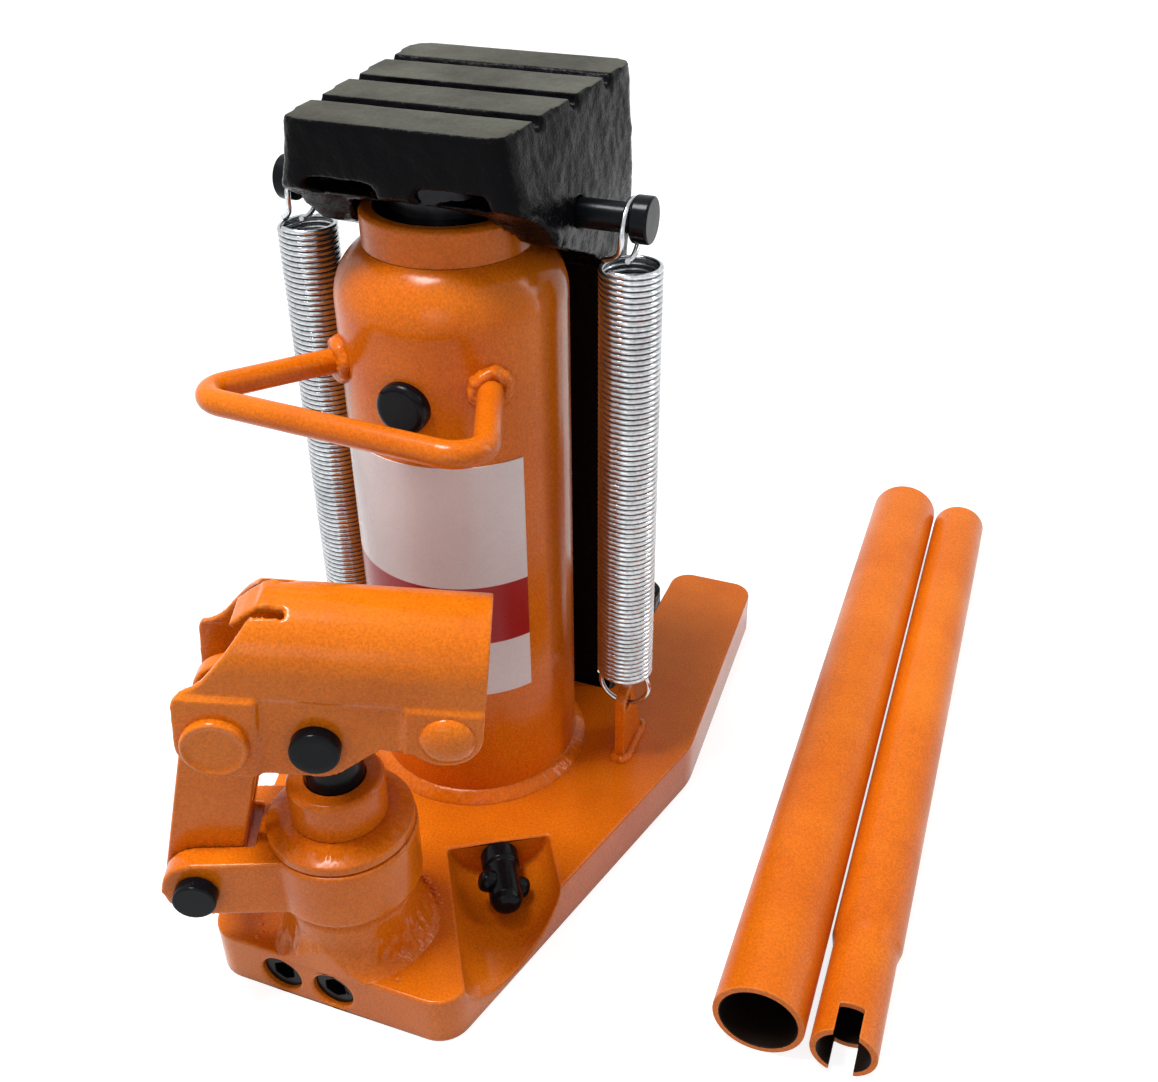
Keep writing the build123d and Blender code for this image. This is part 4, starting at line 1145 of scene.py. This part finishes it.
# ------------------------------------------------------------------ release valve
class JACK_OT_valve(bpy.types.Operator):
    """Release valve with its cross bar"""
    bl_idname = "toe_jack.valve"
    bl_label = "Release valve"

    def execute(self, context):
        dress_copy("release_valve", "valve_stem", 0.4 * MM, "release_valve", OXIDE)
        return {"FINISHED"}


# ------------------------------------------------------------------ lever tubes
class JACK_OT_tubes(bpy.types.Operator):
    """The two-piece lever's tubes, enamelled outside and darkened inside as painted shade"""
    bl_idname = "toe_jack.tubes"
    bl_label = "Lever tubes"

    def execute(self, context):
        tube_edge, facing_in = 0.35 * MM, -0.3
        for node, name, body, bore in (
            ("lever_tube_outer", "outer_lever", "outer_lever_tube", "outer_tube_bore"),
            ("lever_tube_inner", "inner_lever", "inner_lever_tube", "inner_tube_bore"),
        ):
            piece = rounded_copy(node, name, tube_edge, "tube_enamel")
            piece.data.materials.append(bpy.data.materials["bore_shade"])
            centre = middle(node)
            mount = next(row for row in frame["record"]["mounts"] if row["name"] == bore)
            along = Vector(mount["axis"]).normalized()
            # painted shade: faces that look into the bore take the near-black finish
            for face in piece.data.polygons:
                out = face.center - centre
                out -= along * out.dot(along)
                if face.normal.dot(out) < facing_in * out.length:
                    face.material_index = 1
            dress(piece, body, ENAMEL, node)
        return {"FINISHED"}


# ------------------------------------------------------------------ stage
def ray_mix(tree, seen, lit):
    """Seen by camera, glossy and transmission rays; lit for the rest."""
    path = tree.nodes.new("ShaderNodeLightPath").outputs
    shown = math_node(tree, "MAXIMUM", path["Is Camera Ray"], path["Is Glossy Ray"])
    shown = math_node(tree, "MAXIMUM", shown, path["Is Transmission Ray"])
    return add_node(tree, "ShaderNodeMixShader", {0: shown, 1: lit, 2: seen}).outputs[0]


def floor_material():
    """Pale paper; it takes shadows and shows white where none falls."""
    material, tree, shader = new_material("floor_paper")
    shader.inputs["Base Color"].default_value = (0.46, 0.46, 0.46, 1.0)
    shader.inputs["Roughness"].default_value = 0.9
    shader.inputs["Specular IOR Level"].default_value = 0.0
    lift = add_node(tree, "ShaderNodeEmission", {"Strength": 0.84}).outputs[0]
    dark = add_node(tree, "ShaderNodeEmission", {"Strength": 0.0}).outputs[0]
    glow = ray_mix(tree, lift, dark)
    both = add_node(tree, "ShaderNodeAddShader", {0: shader.outputs[0], 1: glow}).outputs[0]
    tree.links.new(both, tree.nodes["Material Output"].inputs["Surface"])
    return material


def studio_world(sky):
    """White where it is seen, and at the sky's level where it lights."""
    world = bpy.data.worlds.new("studio")
    world.use_nodes = True
    tree = world.node_tree
    seen, lit = (
        add_node(tree, "ShaderNodeBackground", {"Color": (1, 1, 1, 1), "Strength": level}).outputs[0]
        for level in (1.0, sky))
    tree.links.new(ray_mix(tree, seen, lit), tree.nodes["World Output"].inputs["Surface"])
    return world


class JACK_OT_stage(bpy.types.Operator):
    """Pale floor, soft lights and camera"""
    bl_idname = "toe_jack.stage"
    bl_label = "Stage"

    def execute(self, context):
        stage = context.scene.toe_jack.stage
        scene = context.scene
        reach, drop = 6.0, 0.02 * MM
        corners = ((-1, -1), (1, -1), (1, 1), (-1, 1))
        shell = bmesh.new()
        shell.faces.new([shell.verts.new((x * reach, y * reach, -drop)) for x, y in corners])
        floor_material()
        from_shell("floor", shell, "floor_paper")
        scene.world = studio_world(stage.sky)
        target = Vector((0.03, -0.01, 0.09))
        for name, spot, size, power in (
            ("key", (-0.26, -0.20, 1.25), (0.36, 0.30), stage.key),
            ("side", (0.95, 0.42, 0.40), (0.06, 0.9), stage.side),
            ("fill", (0.2, -1.3, 0.55), (0.5, 0.5), stage.fill),
        ):
            lamp = bpy.data.lights.new(name, "AREA")
            lamp.shape = "RECTANGLE"
            lamp.size, lamp.size_y = size
            lamp.energy = power
            holder = bpy.data.objects.new(name, lamp)
            holder.location = spot
            holder.rotation_euler = (target - Vector(spot)).to_track_quat("-Z", "Y").to_euler()
            scene.collection.objects.link(holder)

        lens = bpy.data.cameras.new("camera")
        lens.sensor_fit = "HORIZONTAL"
        lens.sensor_width = 36.0
        lens.lens = stage.lens
        lens.clip_start = 0.01
        camera = bpy.data.objects.new("camera", lens)
        turn = Matrix.Rotation(stage.camera_yaw, 4, "Z")
        turn = turn @ Matrix.Rotation(math.radians(90.0) - stage.camera_pitch, 4, "X")
        turn = turn @ Matrix.Rotation(stage.camera_roll, 4, "Z")
        camera.matrix_world = Matrix.Translation(Vector(stage.camera_place)) @ turn
        scene.collection.objects.link(camera)
        scene.camera = camera
        scene.view_settings.view_transform = "Standard"
        return {"FINISHED"}


# ------------------------------------------------------------------ panel and registration
OPERATORS = (
    JACK_OT_finishes, JACK_OT_base, JACK_OT_tank, JACK_OT_welds, JACK_OT_carriage, JACK_OT_springs,
    JACK_OT_pump, JACK_OT_socket, JACK_OT_valve, JACK_OT_tubes, JACK_OT_stage,
)


class JACK_PT_panel(bpy.types.Panel):
    """Toe jack pieces"""
    bl_label = "Toe jack"
    bl_idname = "JACK_PT_panel"
    bl_space_type = "VIEW_3D"
    bl_region_type = "UI"
    bl_category = "Toe jack"

    def draw(self, context):
        for operator in OPERATORS:
            self.layout.operator(operator.bl_idname)
        settings = context.scene.toe_jack
        for group in (settings.finish, settings.detail, settings.stage):
            box = self.layout.box()
            for name in group.__annotations__:
                box.prop(group, name)


CLASSES = (JackFinish, JackDetail, JackStage, ToeJack, *OPERATORS, JACK_PT_panel)


def register():
    for entry in CLASSES:
        bpy.utils.register_class(entry)
    bpy.types.Scene.toe_jack = bpy.props.PointerProperty(type=ToeJack)


def unregister():
    del bpy.types.Scene.toe_jack
    for entry in reversed(CLASSES):
        bpy.utils.unregister_class(entry)


def main():
    register()
    for operator in OPERATORS:
        family, name = operator.bl_idname.split(".")
        getattr(getattr(bpy.ops, family), name)()


if __name__ == "__main__":
    main()
